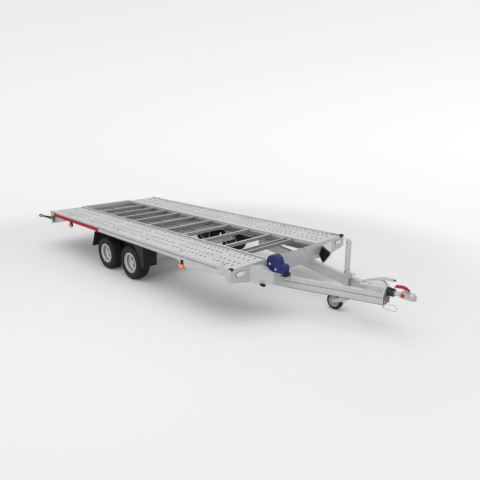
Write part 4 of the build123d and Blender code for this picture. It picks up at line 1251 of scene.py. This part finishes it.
# ---------------------------------------------------------------- road wheels
@dataclass
class RoadWheels:
    """Tyres with tread, stepped rims, hub caps, bolts and valves; profiles are pairs of radius and height."""

    places: Layout
    pitches: int = 64
    block_shares: tuple[float, float, float] = (0.0, 0.42, 0.60)
    sipe_depth: float = 0.0045
    sipe_turn: Pair = (1.2, 1.85)
    sipe_heights: Pair = (0.006, 0.075)
    tread_floor: float = 0.2300
    bolts: int = 5
    bolt_circle: float = 0.056
    bolt: HexBolt = HexBolt(0.017, 0.012, 0.012)
    disc_out: float = 0.0122
    vents: int = 10
    vent_circle: float = 0.0675
    vent_half: Pair = (0.0052, 0.0090)
    vent_steps: int = 14
    vent_out: float = 0.0120
    vent_thickness: float = 0.0006
    rim_steps: int = 72
    cap_steps: int = 40
    valve_steps: int = 16
    tyre_crease: float = 28.0
    valve_place: Point = (0.103, 0.0, 0.040)
    tread: Outline = (
        (0.2349, 0.0), (0.2349, 0.0125), (0.2285, 0.0135), (0.2285, 0.0205), (0.2347, 0.0215), (0.2344, 0.0440),
        (0.2280, 0.0450), (0.2278, 0.0520), (0.2338, 0.0530), (0.2326, 0.0720), (0.2290, 0.0815), (0.2205, 0.0905),
        (0.2080, 0.0965), (0.1930, 0.0998), (0.1780, 0.0990), (0.1650, 0.0950), (0.1640, 0.0925), (0.1560, 0.0885),
        (0.1475, 0.0830), (0.1440, 0.0785), (0.1300, 0.0775), (0.1272, 0.0740), (0.1272, 0.0600), (0.1500, 0.0740),
        (0.1900, 0.0880), (0.2150, 0.0700), (0.2190, 0.0),
    )
    barrel: Outline = (
        (0.1400, 0.0795), (0.1420, 0.0815), (0.1420, 0.0845), (0.1400, 0.0862), (0.1370, 0.0860), (0.1350, 0.0840),
        (0.1345, 0.0780), (0.1290, 0.0765), (0.1270, 0.0800), (0.1235, 0.0815), (0.1170, 0.0780), (0.1150, 0.0700),
        (0.1140, 0.0440), (0.1080, 0.0360), (0.1080, -0.0400), (0.1225, -0.0480), (0.1225, -0.0790),
        (0.1400, -0.0830), (0.1440, -0.0830), (0.1440, -0.0790), (0.1262, -0.0770), (0.1262, -0.0455),
        (0.1118, -0.0375), (0.1118, 0.0335), (0.1262, 0.0415), (0.1262, 0.0770), (0.1400, 0.0785),
    )
    disc: Outline = (
        (0.0340, 0.0120), (0.0760, 0.0120), (0.0800, 0.0140), (0.0880, 0.0250), (0.0910, 0.0300), (0.0950, 0.0325),
        (0.1020, 0.0325), (0.1078, 0.0290), (0.1078, 0.0240), (0.0960, 0.0270), (0.0930, 0.0250), (0.0850, 0.0150),
        (0.0800, 0.0080), (0.0340, 0.0080),
    )
    cap: Outline = (
        (0.0, 0.0500), (0.0180, 0.0500), (0.0270, 0.0470), (0.0300, 0.0400), (0.0325, 0.0390), (0.0325, 0.0130),
        (0.0, 0.0130),
    )
    stem: Outline = ((0.0, 0.0), (0.0062, 0.0), (0.0050, 0.012), (0.0042, 0.014), (0.0042, 0.030),
                              (0.0, 0.031))
    lip_edge: float = 0.1349
    well_edge: float = 0.1275
    well_top: float = 0.0735
    dish_edge: float = 0.0880

    def is_sipe(self, face: bmesh.types.BMFace, step: float) -> bool:
        """Whether a face lies in one of the cuts across the tread's ribs.

        Args:
            face: A face of the tyre.
            step: The angle between two rows of the tyre's points.

        Returns:
            True for a face that is sunk.
        """
        middle = face.calc_center_median()
        place = (math.atan2(middle.y, middle.x) / step) % 3
        low, high = self.sipe_heights
        outer = middle.xy.length > self.tread_floor and abs(face.normal.z) < 0.4
        return outer and self.sipe_turn[0] < place < self.sipe_turn[1] and low < abs(middle.z) < high

    def tyre(self) -> Mesh:
        """One tyre about the Z axis, with grooves round it and cuts across its ribs."""
        profile = self.tread + tuple((radius, -height) for radius, height in reversed(self.tread[1:-1]))
        tyre = spun(profile, self.pitches * 3)
        step = math.tau / (self.pitches * 3)
        for vert in tyre.verts:
            pitch, place = divmod(round(math.atan2(vert.co.y, vert.co.x) / step), 3)
            angle = (pitch + self.block_shares[place]) * 3 * step
            reach = vert.co.xy.length
            vert.co.x, vert.co.y = reach * math.cos(angle), reach * math.sin(angle)
        cuts = [face for face in tyre.faces if self.is_sipe(face, step)]
        for item in bmesh.ops.extrude_face_region(tyre, geom=cuts)["geom"]:
            if isinstance(item, bmesh.types.BMVert):
                item.co.xy *= 1 - self.sipe_depth / item.co.xy.length
        return tyre

    def barrel_colour(self, face: bmesh.types.BMFace) -> int:
        """Colour the barrel: bright at the lips, painted shadow in the groove, painted half shade in the well.

        Args:
            face: A face of the barrel.

        Returns:
            Its material number.
        """
        middle = face.calc_center_median()
        reach = middle.xy.length
        if self.well_edge < reach < self.lip_edge and middle.z > 0.0:
            return 1
        return 2 if reach < self.well_edge and middle.z < self.well_top else 0

    def rim(self, tag: str, body: str, turn: Matrix) -> None:
        """Rolled rim with a dished disc, its vents as dark ovals of painted shade, and the hub cap.

        Args:
            tag: Axle and side, as the frame's nodes name them.
            body: The wheel's body.
            turn: The wheel's place.
        """
        barrel = coloured(spun(self.barrel, self.rim_steps), self.barrel_colour)
        # The dish inside dish_edge takes painted shade.
        disc = coloured(spun(self.disc, self.rim_steps),
                        lambda face: 2 if face.calc_center_median().xy.length < self.dish_edge else 0)
        wide, tall = self.vent_half
        angles = [index * math.tau / self.vent_steps for index in range(self.vent_steps)]
        oval = [(wide * math.cos(angle), tall * math.sin(angle)) for angle in angles]
        spots = [turn @ Matrix.Rotation(math.tau * (index + 0.5) / self.vents, 4, "Z")
                 @ at(self.vent_circle, 0, self.vent_out) for index in range(self.vents)]
        piece = Workpiece(f"stepped_rim_{tag}").add(barrel, turn).add(disc, turn)
        # The vents are flat dark ovals of painted shade.
        piece.add(coloured(prism(oval, self.vent_thickness), lambda face: 1), *spots)
        piece.finished(Slot.SILVER, SILVER, SILVER_SHADOW, SILVER_DIM_AND_SHADE, body=body, replaces=f"wheel_rim_{tag}")
        cap = Workpiece(f"hub_cap_{tag}").add(spun(self.cap, self.cap_steps, False), turn)
        cap.finished(Slot.CAST, BRIGHT_ZINC, body=body)

    def wheel(self, axle: Axle, side: Side) -> None:
        """Dress one road wheel.

        Args:
            axle: Which axle it is on.
            side: Which side of the trailer.
        """
        tag = f"{axle.value}_{side.label}"
        body = f"wheel_{tag}"
        turn = aimed(self.places.wheel_centre[axle, side], ACROSS * side.value)
        tyre = Workpiece(f"treaded_tyre_{tag}").add(self.tyre(), turn)
        tyre.finished(Slot.TYRE, RUBBER, body=body, crease=self.tyre_crease, replaces=f"tyre_{tag}")
        self.rim(tag, body, turn)
        angles = [math.tau * (index + 0.25) / self.bolts for index in range(self.bolts)]
        spots = [turn @ at(self.bolt_circle * math.cos(angle), self.bolt_circle * math.sin(angle), self.disc_out)
                 for angle in angles]
        Workpiece(f"wheel_bolts_{tag}").add(self.bolt.mesh(), *spots).finished(Slot.SILVER, BRIGHT_ZINC, body=body)
        valve = Workpiece(f"valve_{tag}").add(spun(self.stem, self.valve_steps, False), turn @ at(*self.valve_place))
        valve.finished(Slot.RUBBER, SOFT_RUBBER, body=body)

    def build(self) -> None:
        """Dress the four road wheels."""
        for axle in Axle:
            for side in Side:
                self.wheel(axle, side)


# ---------------------------------------------------------------- mudguards
@dataclass
class Mudguards:
    """Inner skirts between the wheels, and the guards' hanger bolts."""

    places: Layout
    skirt_bottom: float = 0.300
    skirt_top: float = 0.380
    skirt_thickness: float = 0.003
    skirt_in: float = 0.0016
    hub_room: float = 0.130
    bolt_distances: tuple[float, ...] = (2.07, 2.49, 2.91)
    bolt_ys: Pair = (0.875, 0.980)
    bolt_drop: float = 0.0045
    bolt: HexBolt = HexBolt(0.013, 0.006, 0.010)

    def build(self) -> None:
        """Build what the guards carry."""
        low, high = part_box("mudguard_left")
        rear = self.places.wheel_centre[Axle.REAR, Side.LEFT].x + self.hub_room
        front = self.places.wheel_centre[Axle.FRONT, Side.LEFT].x - self.hub_room
        plate = block((front - rear, self.skirt_thickness, self.skirt_top - self.skirt_bottom), Edge.SHEET)
        middle = at((front + rear) / 2, low.y + self.skirt_in, (self.skirt_top + self.skirt_bottom) / 2)
        Workpiece("mudguard_inner_skirts").add(plate, middle).mirrored().finished(Slot.BLACK, BLACK)
        spots = [aimed((self.places.ahead(-distance), y, high.z - self.bolt_drop), -UP)
                 for distance in self.bolt_distances for y in self.bolt_ys]
        bolts = Workpiece("mudguard_bolts").add(self.bolt.mesh(), *spots)
        bolts.mirrored().finished(Slot.GALVANISED, BRIGHT_ZINC)


# ---------------------------------------------------------------- lamps
@dataclass
class Lamps:
    """Outline lamps on stalks, side markers, front and rear lamps."""

    places: Layout
    outline_lens: float = 0.017
    stalk: Outline = ((0.0, -0.004), (0.027, -0.004), (0.0275, 0.010), (0.0205, 0.032), (0.0185, 0.060))
    stalk_tip: float = 0.0125
    stalk_foot: Point = (0.011, -0.012, 0.036)
    stalk_base: Point = (0.033, 0.038, 0.068)
    stalk_base_in: float = 0.010
    marker_size: Point = (0.088, 0.022, 0.048)
    marker_proud: float = 0.016
    marker_end: float = 0.031
    back_size: Point = (0.078, 0.010, 0.042)
    back_in: float = 0.004
    strap_size: Point = (0.058, 0.012, 0.080)
    strap_shift: Point = (0.012, 0.002, 0.040)
    stem_width: float = 0.030
    stem_in: float = 0.018
    front_width: float = 0.127
    front_steps: int = 32
    gasket_spread: Pair = (1.05, 1.1)
    gasket_proud: float = 0.004
    lens_spread: Pair = (0.98, 0.96)
    rear_width: float = 0.230
    rear_shell: float = 0.012
    rear_pane: float = 0.018
    rear_pane_in: float = 0.0095
    rear_pane_rim: float = 0.010
    chambers: tuple = (
        ("rear_lens_turn", Slot.AMBER, AMBER, 0.004, 0.066),
        ("rear_lens_stop", Slot.RED_LENS, RED_LENS, 0.072, 0.150),
        ("rear_lens_reverse", Slot.CLEAR_LENS, CLEAR_LENS, 0.156, 0.190),
        ("rear_lens_fog", Slot.RED_LENS, RED_LENS, 0.196, 0.226),
    )

    def outline_lamps(self) -> None:
        """Round lamps, clear ahead and red behind, in a rubber ring on a tapered stalk."""
        low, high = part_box("outline_lamps")
        radius, half, lens = (high.z - low.z) / 2, (high.x - low.x) / 2, self.outline_lens
        tip = Vector(((low.x + high.x) / 2, high.y - radius, (low.z + high.z) / 2))
        section = ((lens, 0.9 * half), (radius * 0.86, half), (radius, 0.7 * half), (radius, -0.7 * half),
                   (radius * 0.86, -half), (lens, -0.9 * half))
        ring = Workpiece("outline_lamp_rings").add(spun(section, 36), aimed(tip, FORWARD))
        ring.mirrored().finished(Slot.RUBBER, SOFT_RUBBER, replaces="outline_lamps")
        dome = ((0.0, half * 0.98), (lens * 0.6, half * 0.95), (lens, half * 0.82), (lens, 0.0), (0.0, 0.0))
        for name, axis, slot, finish in (("outline_lens_front", FORWARD, Slot.CLEAR_LENS, CLEAR_LENS),
                                         ("outline_lens_rear", -FORWARD, Slot.RED_LENS, RED_LENS)):
            Workpiece(name).add(spun(dome, 32, False), aimed(tip, axis)).mirrored().finished(slot, finish)
        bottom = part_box("outline_lamp_arms")[0].z
        foot = Vector((tip.x, self.places.half_width, bottom)) + Vector(self.stalk_foot)
        reach = tip - foot
        taper = (*self.stalk, (self.stalk_tip, reach.length - radius * 0.9), (0.0, reach.length - radius * 0.85))
        stalk = Workpiece("outline_lamp_stalks").add(spun(taper, 28, False), aimed(foot, reach))
        stalk.add(block(self.stalk_base, Edge.SHELL), at(foot.x, foot.y - self.stalk_base_in, foot.z))
        stalk.mirrored().finished(Slot.RUBBER, SOFT_RUBBER, replaces="outline_lamp_arms")

    def side_markers(self) -> None:
        """Amber lamps that hang below the rails on black brackets."""
        low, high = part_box("side_markers")
        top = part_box("marker_brackets")[1].z
        deep, width = self.marker_size[1], self.stem_width
        back = high.y + self.marker_proud - deep
        z = (low.z + high.z) / 2
        lens, base = Workpiece("side_marker_lenses"), Workpiece("side_marker_brackets")
        for x in (low.x + self.marker_end, high.x - self.marker_end):
            lens.add(block(self.marker_size, Edge.LENS, 4), at(x, back + deep / 2, z))
            base.add(block(self.back_size, Edge.PLASTIC), at(x, back - self.back_in, z))
            strap = Matrix.Translation(Vector((x, back, z)) + Vector(self.strap_shift))
            base.add(block(self.strap_size, Edge.PLASTIC), strap)
            stem = block((width, width, top - low.z), Edge.PLASTIC)
            base.add(stem, at(x, back - self.stem_in, (top + low.z) / 2))
        lens.mirrored().finished(Slot.AMBER, AMBER, replaces="side_markers")
        base.mirrored().finished(Slot.BLACK, BLACK, replaces="marker_brackets")

    def front_lamps(self) -> None:
        """Oval clear lamps on the panel, each in a thin black gasket."""
        low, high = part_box("front_lamps")
        radius = (high.z - low.z) / 2
        straight = self.front_width / 2 - radius
        outline = []
        for step in range(self.front_steps):
            angle = math.tau * (step + 0.5) / self.front_steps
            shift = math.copysign(straight, math.cos(angle))
            outline.append((shift + radius * math.cos(angle), radius * math.sin(angle)))
        place = along(low.x, high.y - self.front_width / 2, (high.z + low.z) / 2)
        wide, tall = self.gasket_spread
        gasket = prism([(y * wide, z * tall) for y, z in outline], self.gasket_proud, Edge.GASKET)
        Workpiece("front_lamp_gaskets").add(gasket, place).mirrored().finished(Slot.BLACK, SOFT_RUBBER)
        wide, tall = self.lens_spread
        lens = prism([(y * wide, z * tall) for y, z in outline], high.x - low.x, Edge.WINDOW)
        Workpiece("front_lamp_lenses").add(lens, place).mirrored().finished(
            Slot.CLEAR_LENS, CLEAR_LENS, replaces="front_lamps")

    def rear_lamps(self) -> None:
        """Combination lamps: a black body with amber, red and clear chambers."""
        low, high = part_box("rear_lamps")
        z, deep, tall = (low.z + high.z) / 2, high.x - low.x - self.rear_shell, high.z - low.z
        shell = block((deep, self.rear_width, tall), Edge.SHELL, 3)
        place = at((high.x + low.x + self.rear_shell) / 2, high.y - self.rear_width / 2, z)
        Workpiece("rear_lamp_bodies").add(shell, place).mirrored().finished(Slot.BLACK, BLACK, replaces="rear_lamps")
        for name, slot, finish, near, far in self.chambers:
            pane = block((self.rear_pane, far - near, tall - self.rear_pane_rim), Edge.PLASTIC, 3)
            place = at(low.x + self.rear_pane_in, high.y - (near + far) / 2, z)
            Workpiece(name).add(pane, place).mirrored().finished(slot, finish)

    def build(self) -> None:
        """Build all the lamps."""
        self.outline_lamps()
        self.side_markers()
        self.front_lamps()
        self.rear_lamps()


# ---------------------------------------------------------------- front end
@dataclass
class FrontEnd:
    """Small parts of the panel, its horns and the drawbar.

    Distances run forward from the deck's front edge. The horn's corners are pairs of y and z, and the chock's studs
    are pairs of x and z.
    """

    places: Layout
    beam_front: float = 1.190
    beam_front_y: float = 0.060
    beam_slope: float = 0.29
    # Painted shadow lines along the beams: their ends and thickness.
    seam_start: float = 0.155
    seam_end: float = 1.189
    seam_skin: float = 0.0012
    groove_z: Pair = (0.3665, 0.3735)
    groove_sunk: float = -0.0030
    edge_z: Pair = (0.2985, 0.3045)
    horn_reach: float = 0.150
    horn_knee: float = 0.061
    horn_wall: float = 0.004
    fold_y: float = 0.770
    fold_z: Pair = (0.4145, 0.610)
    apex: Pair = (0.560, 0.578)
    tip: Pair = (0.550, 0.509)
    tip_bottom: float = 0.497
    knee_y: float = 0.680
    knee_z: Pair = (0.384, 0.420)
    arch_run: Pair = (0.185, 0.094)
    arch_sag: float = 0.022
    arch_steps: int = 8
    lip_drop: float = 0.013
    lip_lean: float = 0.003
    inside_z: float = 0.400
    # The black sheet of painted shade inside the horn: its set-back, thickness and corners.
    lining_back: float = 0.006
    lining_wall: float = 0.003
    lining: Outline = ((0.552, 0.560), (0.540, 0.490), (0.384, 0.404), (0.484, 0.474))
    stop_width: float = 0.046
    stop_in: float = 0.0235
    stop_drop: float = 0.015
    stop_hang: float = 0.022
    foot_size: Point = (0.062, 0.034, 0.022)
    foot_place: Point = (0.096, -0.668, 0.3835)
    cup_size: Point = (0.074, 0.084, 0.040)
    cup_place: Point = (0.247, -0.465, 0.497)
    stud: Outline = ((0.0, -0.001), (0.0130, -0.001), (0.0130, 0.0015), (0.0095, 0.0035), (0.0, 0.0040))
    stud_places: Outline = ((1.5975, 0.5820), (1.6835, 0.5350))

    def beam_strip(self, heights: Pair, proud: float) -> tuple[Mesh, Matrix]:
        """Thin strip along the left beam's outer face.

        Args:
            heights: Its lower and upper edges.
            proud: How far it stands off the face.

        Returns:
            The strip, and its place.
        """
        ends = [Vector((self.places.ahead(distance),
                        self.beam_front_y + self.beam_slope * (self.beam_front - distance), sum(heights) / 2))
                for distance in (self.seam_start, self.seam_end)]
        run = ends[1] - ends[0]
        side = Vector((-run.y, run.x, 0)).normalized()
        place = Matrix.Translation(sum(ends, Vector()) / 2 + side * proud)
        strip = block((run.length, self.seam_skin, heights[1] - heights[0]), Edge.SKIN)
        return strip, place @ Matrix.Rotation(math.atan2(run.y, run.x), 4, "Z")

    def drawbar(self) -> None:
        """Painted shadow in the groove and along the lower edge of both beams."""
        shadow_lines = Workpiece("drawbar_seams").add(*self.beam_strip(self.groove_z, self.groove_sunk))
        shadow_lines.add(*self.beam_strip(self.edge_z, 0.0)).mirrored().finished(Slot.GALVANISED, ZINC_PAINTED_SHADE)

    def horn(self) -> None:
        """Open-fronted left horn: outer wall, top, arched lower edge, a dark lip of painted shade and a black sheet of
        painted shade inside.
        """
        root, wall = self.places.deck_front, self.horn_wall
        nose, bend = root + self.horn_reach, root + self.horn_knee
        fold_bottom, fold_top = ((root, self.fold_y, z) for z in self.fold_z)
        knee, heel = ((bend, self.knee_y, z) for z in self.knee_z)
        apex, tip = (root, *self.apex), (nose, *self.tip)
        middle = (root, self.apex[0], self.inside_z)
        horn = Workpiece("horn_left_open")
        horn.add(sheet((fold_top, fold_bottom, knee, heel, (nose, self.tip[0], self.tip_bottom), tip), wall, middle))
        horn.add(sheet((fold_top, tip, apex), wall, middle))
        arch = [(self.tip[0] - self.arch_run[0] * share,
                 self.tip[1] - self.arch_run[1] * share - self.arch_sag * math.sin(math.pi * share))
                for share in (step / self.arch_steps for step in range(self.arch_steps + 1))]
        band = arch + [(y - self.lip_lean, z - self.lip_drop) for y, z in reversed(arch)]
        horn.add(prism(band, wall), along(nose - wall))
        horn.finished(Slot.GALVANISED, ZINC, replaces="front_gusset_left")
        # Painted shade: a dark strip under the top's front edge.
        drop = Vector((0.0, 0.0, -self.lip_drop))
        lip = sheet((apex, tip, Vector(tip) + drop, Vector(apex) + drop), wall, fold_bottom)
        Workpiece("horn_left_lip").add(lip).finished(Slot.GALVANISED, ZINC_DARK_AND_SHADE)
        # Painted shade: a black sheet inside the hollow horn.
        back, front = root + self.lining_back, nose - self.lining_back
        corners = [(x, *corner) for x, corner in zip((back, front, front, back), self.lining)]
        Workpiece("horn_left_lining").add(sheet(corners, self.lining_wall, middle)).finished(Slot.BLACK, CAVITY_SHADE)

    def corner_stops(self) -> None:
        """Black stops on the deck's front corners."""
        low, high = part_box("corner_caps")
        cap = block((high.x - low.x, self.stop_width, high.z - self.places.deck_top + self.stop_hang), Edge.STOP, 3)
        place = at((high.x + low.x) / 2, self.places.half_width - self.stop_in, high.z - self.stop_drop)
        Workpiece("corner_stops").add(cap, place).mirrored().finished(Slot.BLACK, BLACK, replaces="corner_caps")

    def black_block(self, name: str, size: Point, place: Point, finish: Finish) -> None:
        """A moulded block at a place ahead of the deck's front edge.

        Args:
            name: The piece's name.
            size: Its length along each axis.
            place: Its middle: distance ahead of the deck, and frame y and z.
            finish: Its surface.
        """
        part = block(size, Edge.STOP, 3)
        Workpiece(name).add(part, at(self.places.ahead(place[0]), *place[1:])).finished(Slot.BLACK, finish)

    def build(self) -> None:
        """Build the front end's small parts, with a black block of painted shade under the right horn and the chock's
        studs and cup.
        """
        self.drawbar()
        self.horn()
        self.corner_stops()
        self.black_block("horn_foot", self.foot_size, self.foot_place, CAVITY_SHADE)
        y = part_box("wheel_chock")[0].y
        spots = [aimed((x, y, z), -ACROSS) for x, z in self.stud_places]
        Workpiece("chock_studs").add(spun(self.stud, 28, False), *spots).finished(Slot.CLEAR_LENS, STUD)
        self.black_block("chock_cup", self.cup_size, self.cup_place, BLACK)


# ---------------------------------------------------------------- coupling
@dataclass
class Coupling:
    """Bellows, end plate, brake bracket and grip of the coupling.

    The bracket's corners and its pivot are pairs of a distance ahead of the deck's front edge and a height.
    """

    places: Layout
    folds: int = 4
    fold_low: float = 0.0270
    fold_high: float = 0.0475
    fold_shrink: float = 0.0012
    fold_round: float = 0.002
    # Share of the fold depth that takes the grey of dust and painted light.
    dusty_share: float = 0.35
    neck: float = 0.008
    rear_neck: float = 0.0400
    front_neck: float = 0.0300
    clip: Outline = ((0.0402, 0.0), (0.0412, 0.0), (0.0412, 0.005), (0.0402, 0.005))
    plate_half: float = 0.072
    plate_bottom: float = 0.2990
    plate_drop: float = 0.010
    plate_skin: float = 0.0025
    plate_bolts: Pair = (0.048, 0.335)
    plate_bolt: HexBolt = HexBolt(0.017, 0.009, 0.013)
    bracket_half: float = 0.015
    bracket_plate: float = 0.004
    bracket: Outline = ((0.960, 0.448), (1.188, 0.470), (1.188, 0.512), (1.150, 0.541), (1.080, 0.530),
                                 (1.010, 0.508), (0.960, 0.478))
    pivot_place: Pair = (1.010, 0.484)
    pivot_out: float = 0.0038
    pivot: HexBolt = HexBolt(0.019, 0.008, 0.013)
    cap_size: Pair = (0.020, 0.011)
    cap_shift: float = 0.004
    cap_tilt: float = 32.0

    def bellows(self) -> None:
        """Rubber bellows with deep folds that taper towards the head, and the clip at their root."""
        low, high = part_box("coupling_bellows")
        length = high.x - low.x
        step = (length - 2 * self.neck) / self.folds
        profile = [(0.0, 0.0), (self.rear_neck, 0.0), (self.rear_neck, self.neck - 0.001)]
        for index in range(self.folds):
            peak = self.fold_high - self.fold_shrink * index
            side = peak - self.fold_round
            rows = ((self.fold_low, 0.04), (self.fold_low, 0.26), (side, 0.40), (peak, 0.50), (side, 0.60),
                    (self.fold_low, 0.74), (self.fold_low, 0.96))
            profile += [(radius, self.neck + step * (index + share)) for radius, share in rows]
        profile += [(self.front_neck, length - self.neck), (self.front_neck, length), (0.0, length)]
        # The valleys take grey: dust, and painted light that gives the folds their contrast.
        dust_and_light_edge = self.fold_low + self.dusty_share * (self.fold_high - self.fold_low)
        boot = coloured(spun(profile, 44, False), lambda face: int(face.calc_center_median().xy.length < dust_and_light_edge))
        y, z = (low.y + high.y) / 2, (low.z + high.z) / 2
        piece = Workpiece("bellows_folded").add(boot, aimed((low.x, y, z), FORWARD))
        piece.finished(Slot.RUBBER, BLACK, DUST_AND_LIGHT_RUBBER, crease=60.0, replaces="coupling_bellows")
        band = Workpiece("bellows_clips").add(spun(self.clip, 44), aimed((low.x + 0.001, y, z), FORWARD))
        band.finished(Slot.GALVANISED, BRIGHT_ZINC)

    def end_plate(self) -> None:
        """Dark face on the lower half of the light end plate, and its two bolts."""
        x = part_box("drawbar_end_plate")[1].x - 0.001
        half, low, high = self.plate_half, self.plate_bottom, self.places.drawbar_top - self.plate_drop
        face = prism(((-half, low), (half, low), (half, high), (-half, high)), self.plate_skin, Edge.SHEET)
        Workpiece("end_plate_face").add(face, along(x)).finished(Slot.GALVANISED, ZINC_DARK_AND_SHADE)
        y, z = self.plate_bolts
        bolts = Workpiece("end_plate_bolts")
        bolts.add(self.plate_bolt.mesh(), aimed((x, -y, z), FORWARD), aimed((x, y, z), FORWARD))
        bolts.finished(Slot.GALVANISED, BRIGHT_ZINC)

    def brake_bracket(self) -> None:
        """Side plates that carry the brake lever on the housing, and its pivot."""
        outline = [(self.places.ahead(x), z) for x, z in self.bracket]
        plate = prism(outline, self.bracket_plate, Edge.SHEET)
        plates = Workpiece("brake_bracket_plates")
        plates.add(plate, *(upright(0, y) for y in (-self.bracket_half - self.bracket_plate, self.bracket_half)))
        plates.finished(Slot.GALVANISED, ZINC_PALE_LIT)
        x, z = self.places.ahead(self.pivot_place[0]), self.pivot_place[1]
        spots = [aimed((x, turn.y * (self.bracket_half + self.pivot_out), z), turn) for turn in (ACROSS, -ACROSS)]
        Workpiece("brake_pivot").add(self.pivot.mesh(), *spots).finished(Slot.GALVANISED, BRIGHT_ZINC)

    def grip(self) -> None:
        """Black cap at the front end of the red handle."""
        low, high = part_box("coupling_handle")
        long, tall = self.cap_size
        cap = block((long, high.y - low.y + 0.001, tall), Edge.PLASTIC, 3)
        tilt = Matrix.Rotation(math.radians(self.cap_tilt), 4, "Y")
        place = at(high.x + self.cap_shift, 0, low.z + self.cap_shift) @ tilt
        Workpiece("handle_cap").add(cap, place).finished(Slot.BLACK, BLACK)

    def build(self) -> None:
        """Build the coupling's pieces."""
        self.bellows()
        self.end_plate()
        self.brake_bracket()
        self.grip()


# ---------------------------------------------------------------- jockey wheel
@dataclass
class JockeyWheel:
    """Painted shade strip and collar of the tube, and the wheel's tyre and hub; shares are of the tyre's radius and
    half width.
    """

    # Painted shade strip on the tube: heights, width, thickness and turn.
    slot_heights: Pair = (0.440, 0.500)
    slot_width: float = 0.013
    slot_skin: float = 0.0012
    slot_turn: float = -98.0
    collar: Outline = ((-0.001, 0.0), (0.0030, 0.0), (0.0035, 0.002), (0.0035, 0.018), (0.0015, 0.020),
                                (-0.001, 0.020))
    collar_drop: float = 0.022
    tyre_shares: Outline = ((0.999, 0.0), (0.999, 0.35), (0.985, 0.62), (0.945, 0.84), (0.885, 0.95),
                                     (0.83, 0.985), (0.80, 0.94))
    tyre_inner: float = 0.068
    bead_shares: Outline = ((1.05, 0.90), (1.0, 0.88))
    hub: Outline = ((0.0, 0.0), (0.022, 0.0), (0.020, 0.006), (0.013, 0.008), (0.0, 0.008))
    hub_sunk: float = 0.004

    def tube(self) -> None:
        """A dark strip of painted shade on the tube's side, and a collar at its top."""
        low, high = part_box("jockey_tube")
        middle, radius = (low + high) / 2, (high.x - low.x) / 2
        bottom, top = self.slot_heights
        # A thin dark strip of painted shade on the tube's side.
        groove = block((self.slot_skin, self.slot_width, top - bottom), Edge.SKIN)
        turn = Matrix.Rotation(math.radians(self.slot_turn), 4, "Z")
        place = at(middle.x, middle.y, (bottom + top) / 2) @ turn @ at(radius + 0.0001, 0, 0)
        Workpiece("jockey_tube_slot").add(groove, place).finished(Slot.BLACK, CAVITY_SHADE)
        ring = spun([(radius + proud, height) for proud, height in self.collar], 48)
        place = at(middle.x, middle.y, high.z - self.collar_drop)
        Workpiece("jockey_collar").add(ring, place).finished(Slot.GALVANISED, BRIGHT_ZINC)

    def wheel(self) -> None:
        """Solid rubber tyre with a rounded tread, and the hub's two cones."""
        low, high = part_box("jockey_tyre")
        middle, radius, half = (low + high) / 2, (high.z - low.z) / 2, (high.y - low.y) / 2
        rows = [(radius * across, half * up) for across, up in self.tyre_shares]
        rows += [(self.tyre_inner * across, half * up) for across, up in self.bead_shares]
        tyre = spun(rows + [(reach, -up) for reach, up in reversed(rows[1:])], 72)
        piece = Workpiece("jockey_tyre_moulded").add(tyre, aimed(middle, ACROSS))
        piece.finished(Slot.TYRE, RUBBER, body=Body.JOCKEY_WHEEL, replaces="jockey_tyre")
        rim_low, rim_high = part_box("jockey_rim")
        spots = [aimed((middle.x, y, middle.z), turn) for turn, y in
                 ((ACROSS, rim_high.y - self.hub_sunk), (-ACROSS, rim_low.y + self.hub_sunk))]
        hub = Workpiece("jockey_hub").add(spun(self.hub, 32, False), *spots)
        hub.finished(Slot.BLACK, BLACK, body=Body.JOCKEY_WHEEL)

    def build(self) -> None:
        """Build the jockey wheel's pieces."""
        self.tube()
        self.wheel()


# ---------------------------------------------------------------- carried-over nodes
@dataclass
class Finishes:
    """Finishes of the frame's own nodes."""

    by_slot: dict[Slot, Finish] = field(default_factory=lambda: {
        Slot.GALVANISED: ZINC, Slot.TYRE: RUBBER, Slot.SILVER: SILVER, Slot.CAST: CAST_DARK, Slot.BLACK: BLACK,
        Slot.RUBBER: SOFT_RUBBER, Slot.AMBER: AMBER, Slot.RED_LENS: RED_LENS, Slot.BLUE: BLUE, Slot.RED: RED,
        Slot.SHEATH: SHEATH, Slot.DARK_ZINC: ZINC_DARK_AND_SHADE, Slot.CLEAR_LENS: CLEAR_LENS,
    })
    by_node: dict[str, Finish] = field(default_factory=lambda: {
        "coupling_head": CAST_LIGHT, "coupling_shaft": BRIGHT_ZINC, "handbrake_lever": BRIGHT_ZINC,
        "jockey_leg": BRIGHT_ZINC, "jockey_crank": BRIGHT_ZINC, "jockey_rim": SILVER_DIM_AND_SHADE,
        # The front panel takes zinc darkened by painted shade.
        "drawbar_end_plate": ZINC_PALE_LIT, "front_panel": ZINC_PANEL_SHADE,
    })

    def dress(self) -> None:
        """Give each node its finish."""
        for name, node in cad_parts.items():
            used = node.material_slots[0].material.name if node.material_slots else ""
            slot = next((slot for slot in Slot if used.startswith(slot.value)), Slot.GALVANISED)
            finish = self.by_node.get(name, self.by_slot[slot])
            if not node.material_slots:
                node.data.materials.append(None)
            for place in node.material_slots:
                place.material = finish.material()


def main() -> None:
    """Build the scene, piece by piece."""
    logging.basicConfig(level=logging.INFO, format="%(name)s %(message)s", stream=sys.stdout)
    Studio().build()
    BreakawayCable().build()
    places = Layout.measured()
    Finishes().dress()
    for group in (Deck, CrossMembers, StowedRamps, RoadWheels, Mudguards, Lamps, FrontEnd, Coupling):
        group(places).build()
    JockeyWheel().build()


if __name__ == "__main__":
    main()
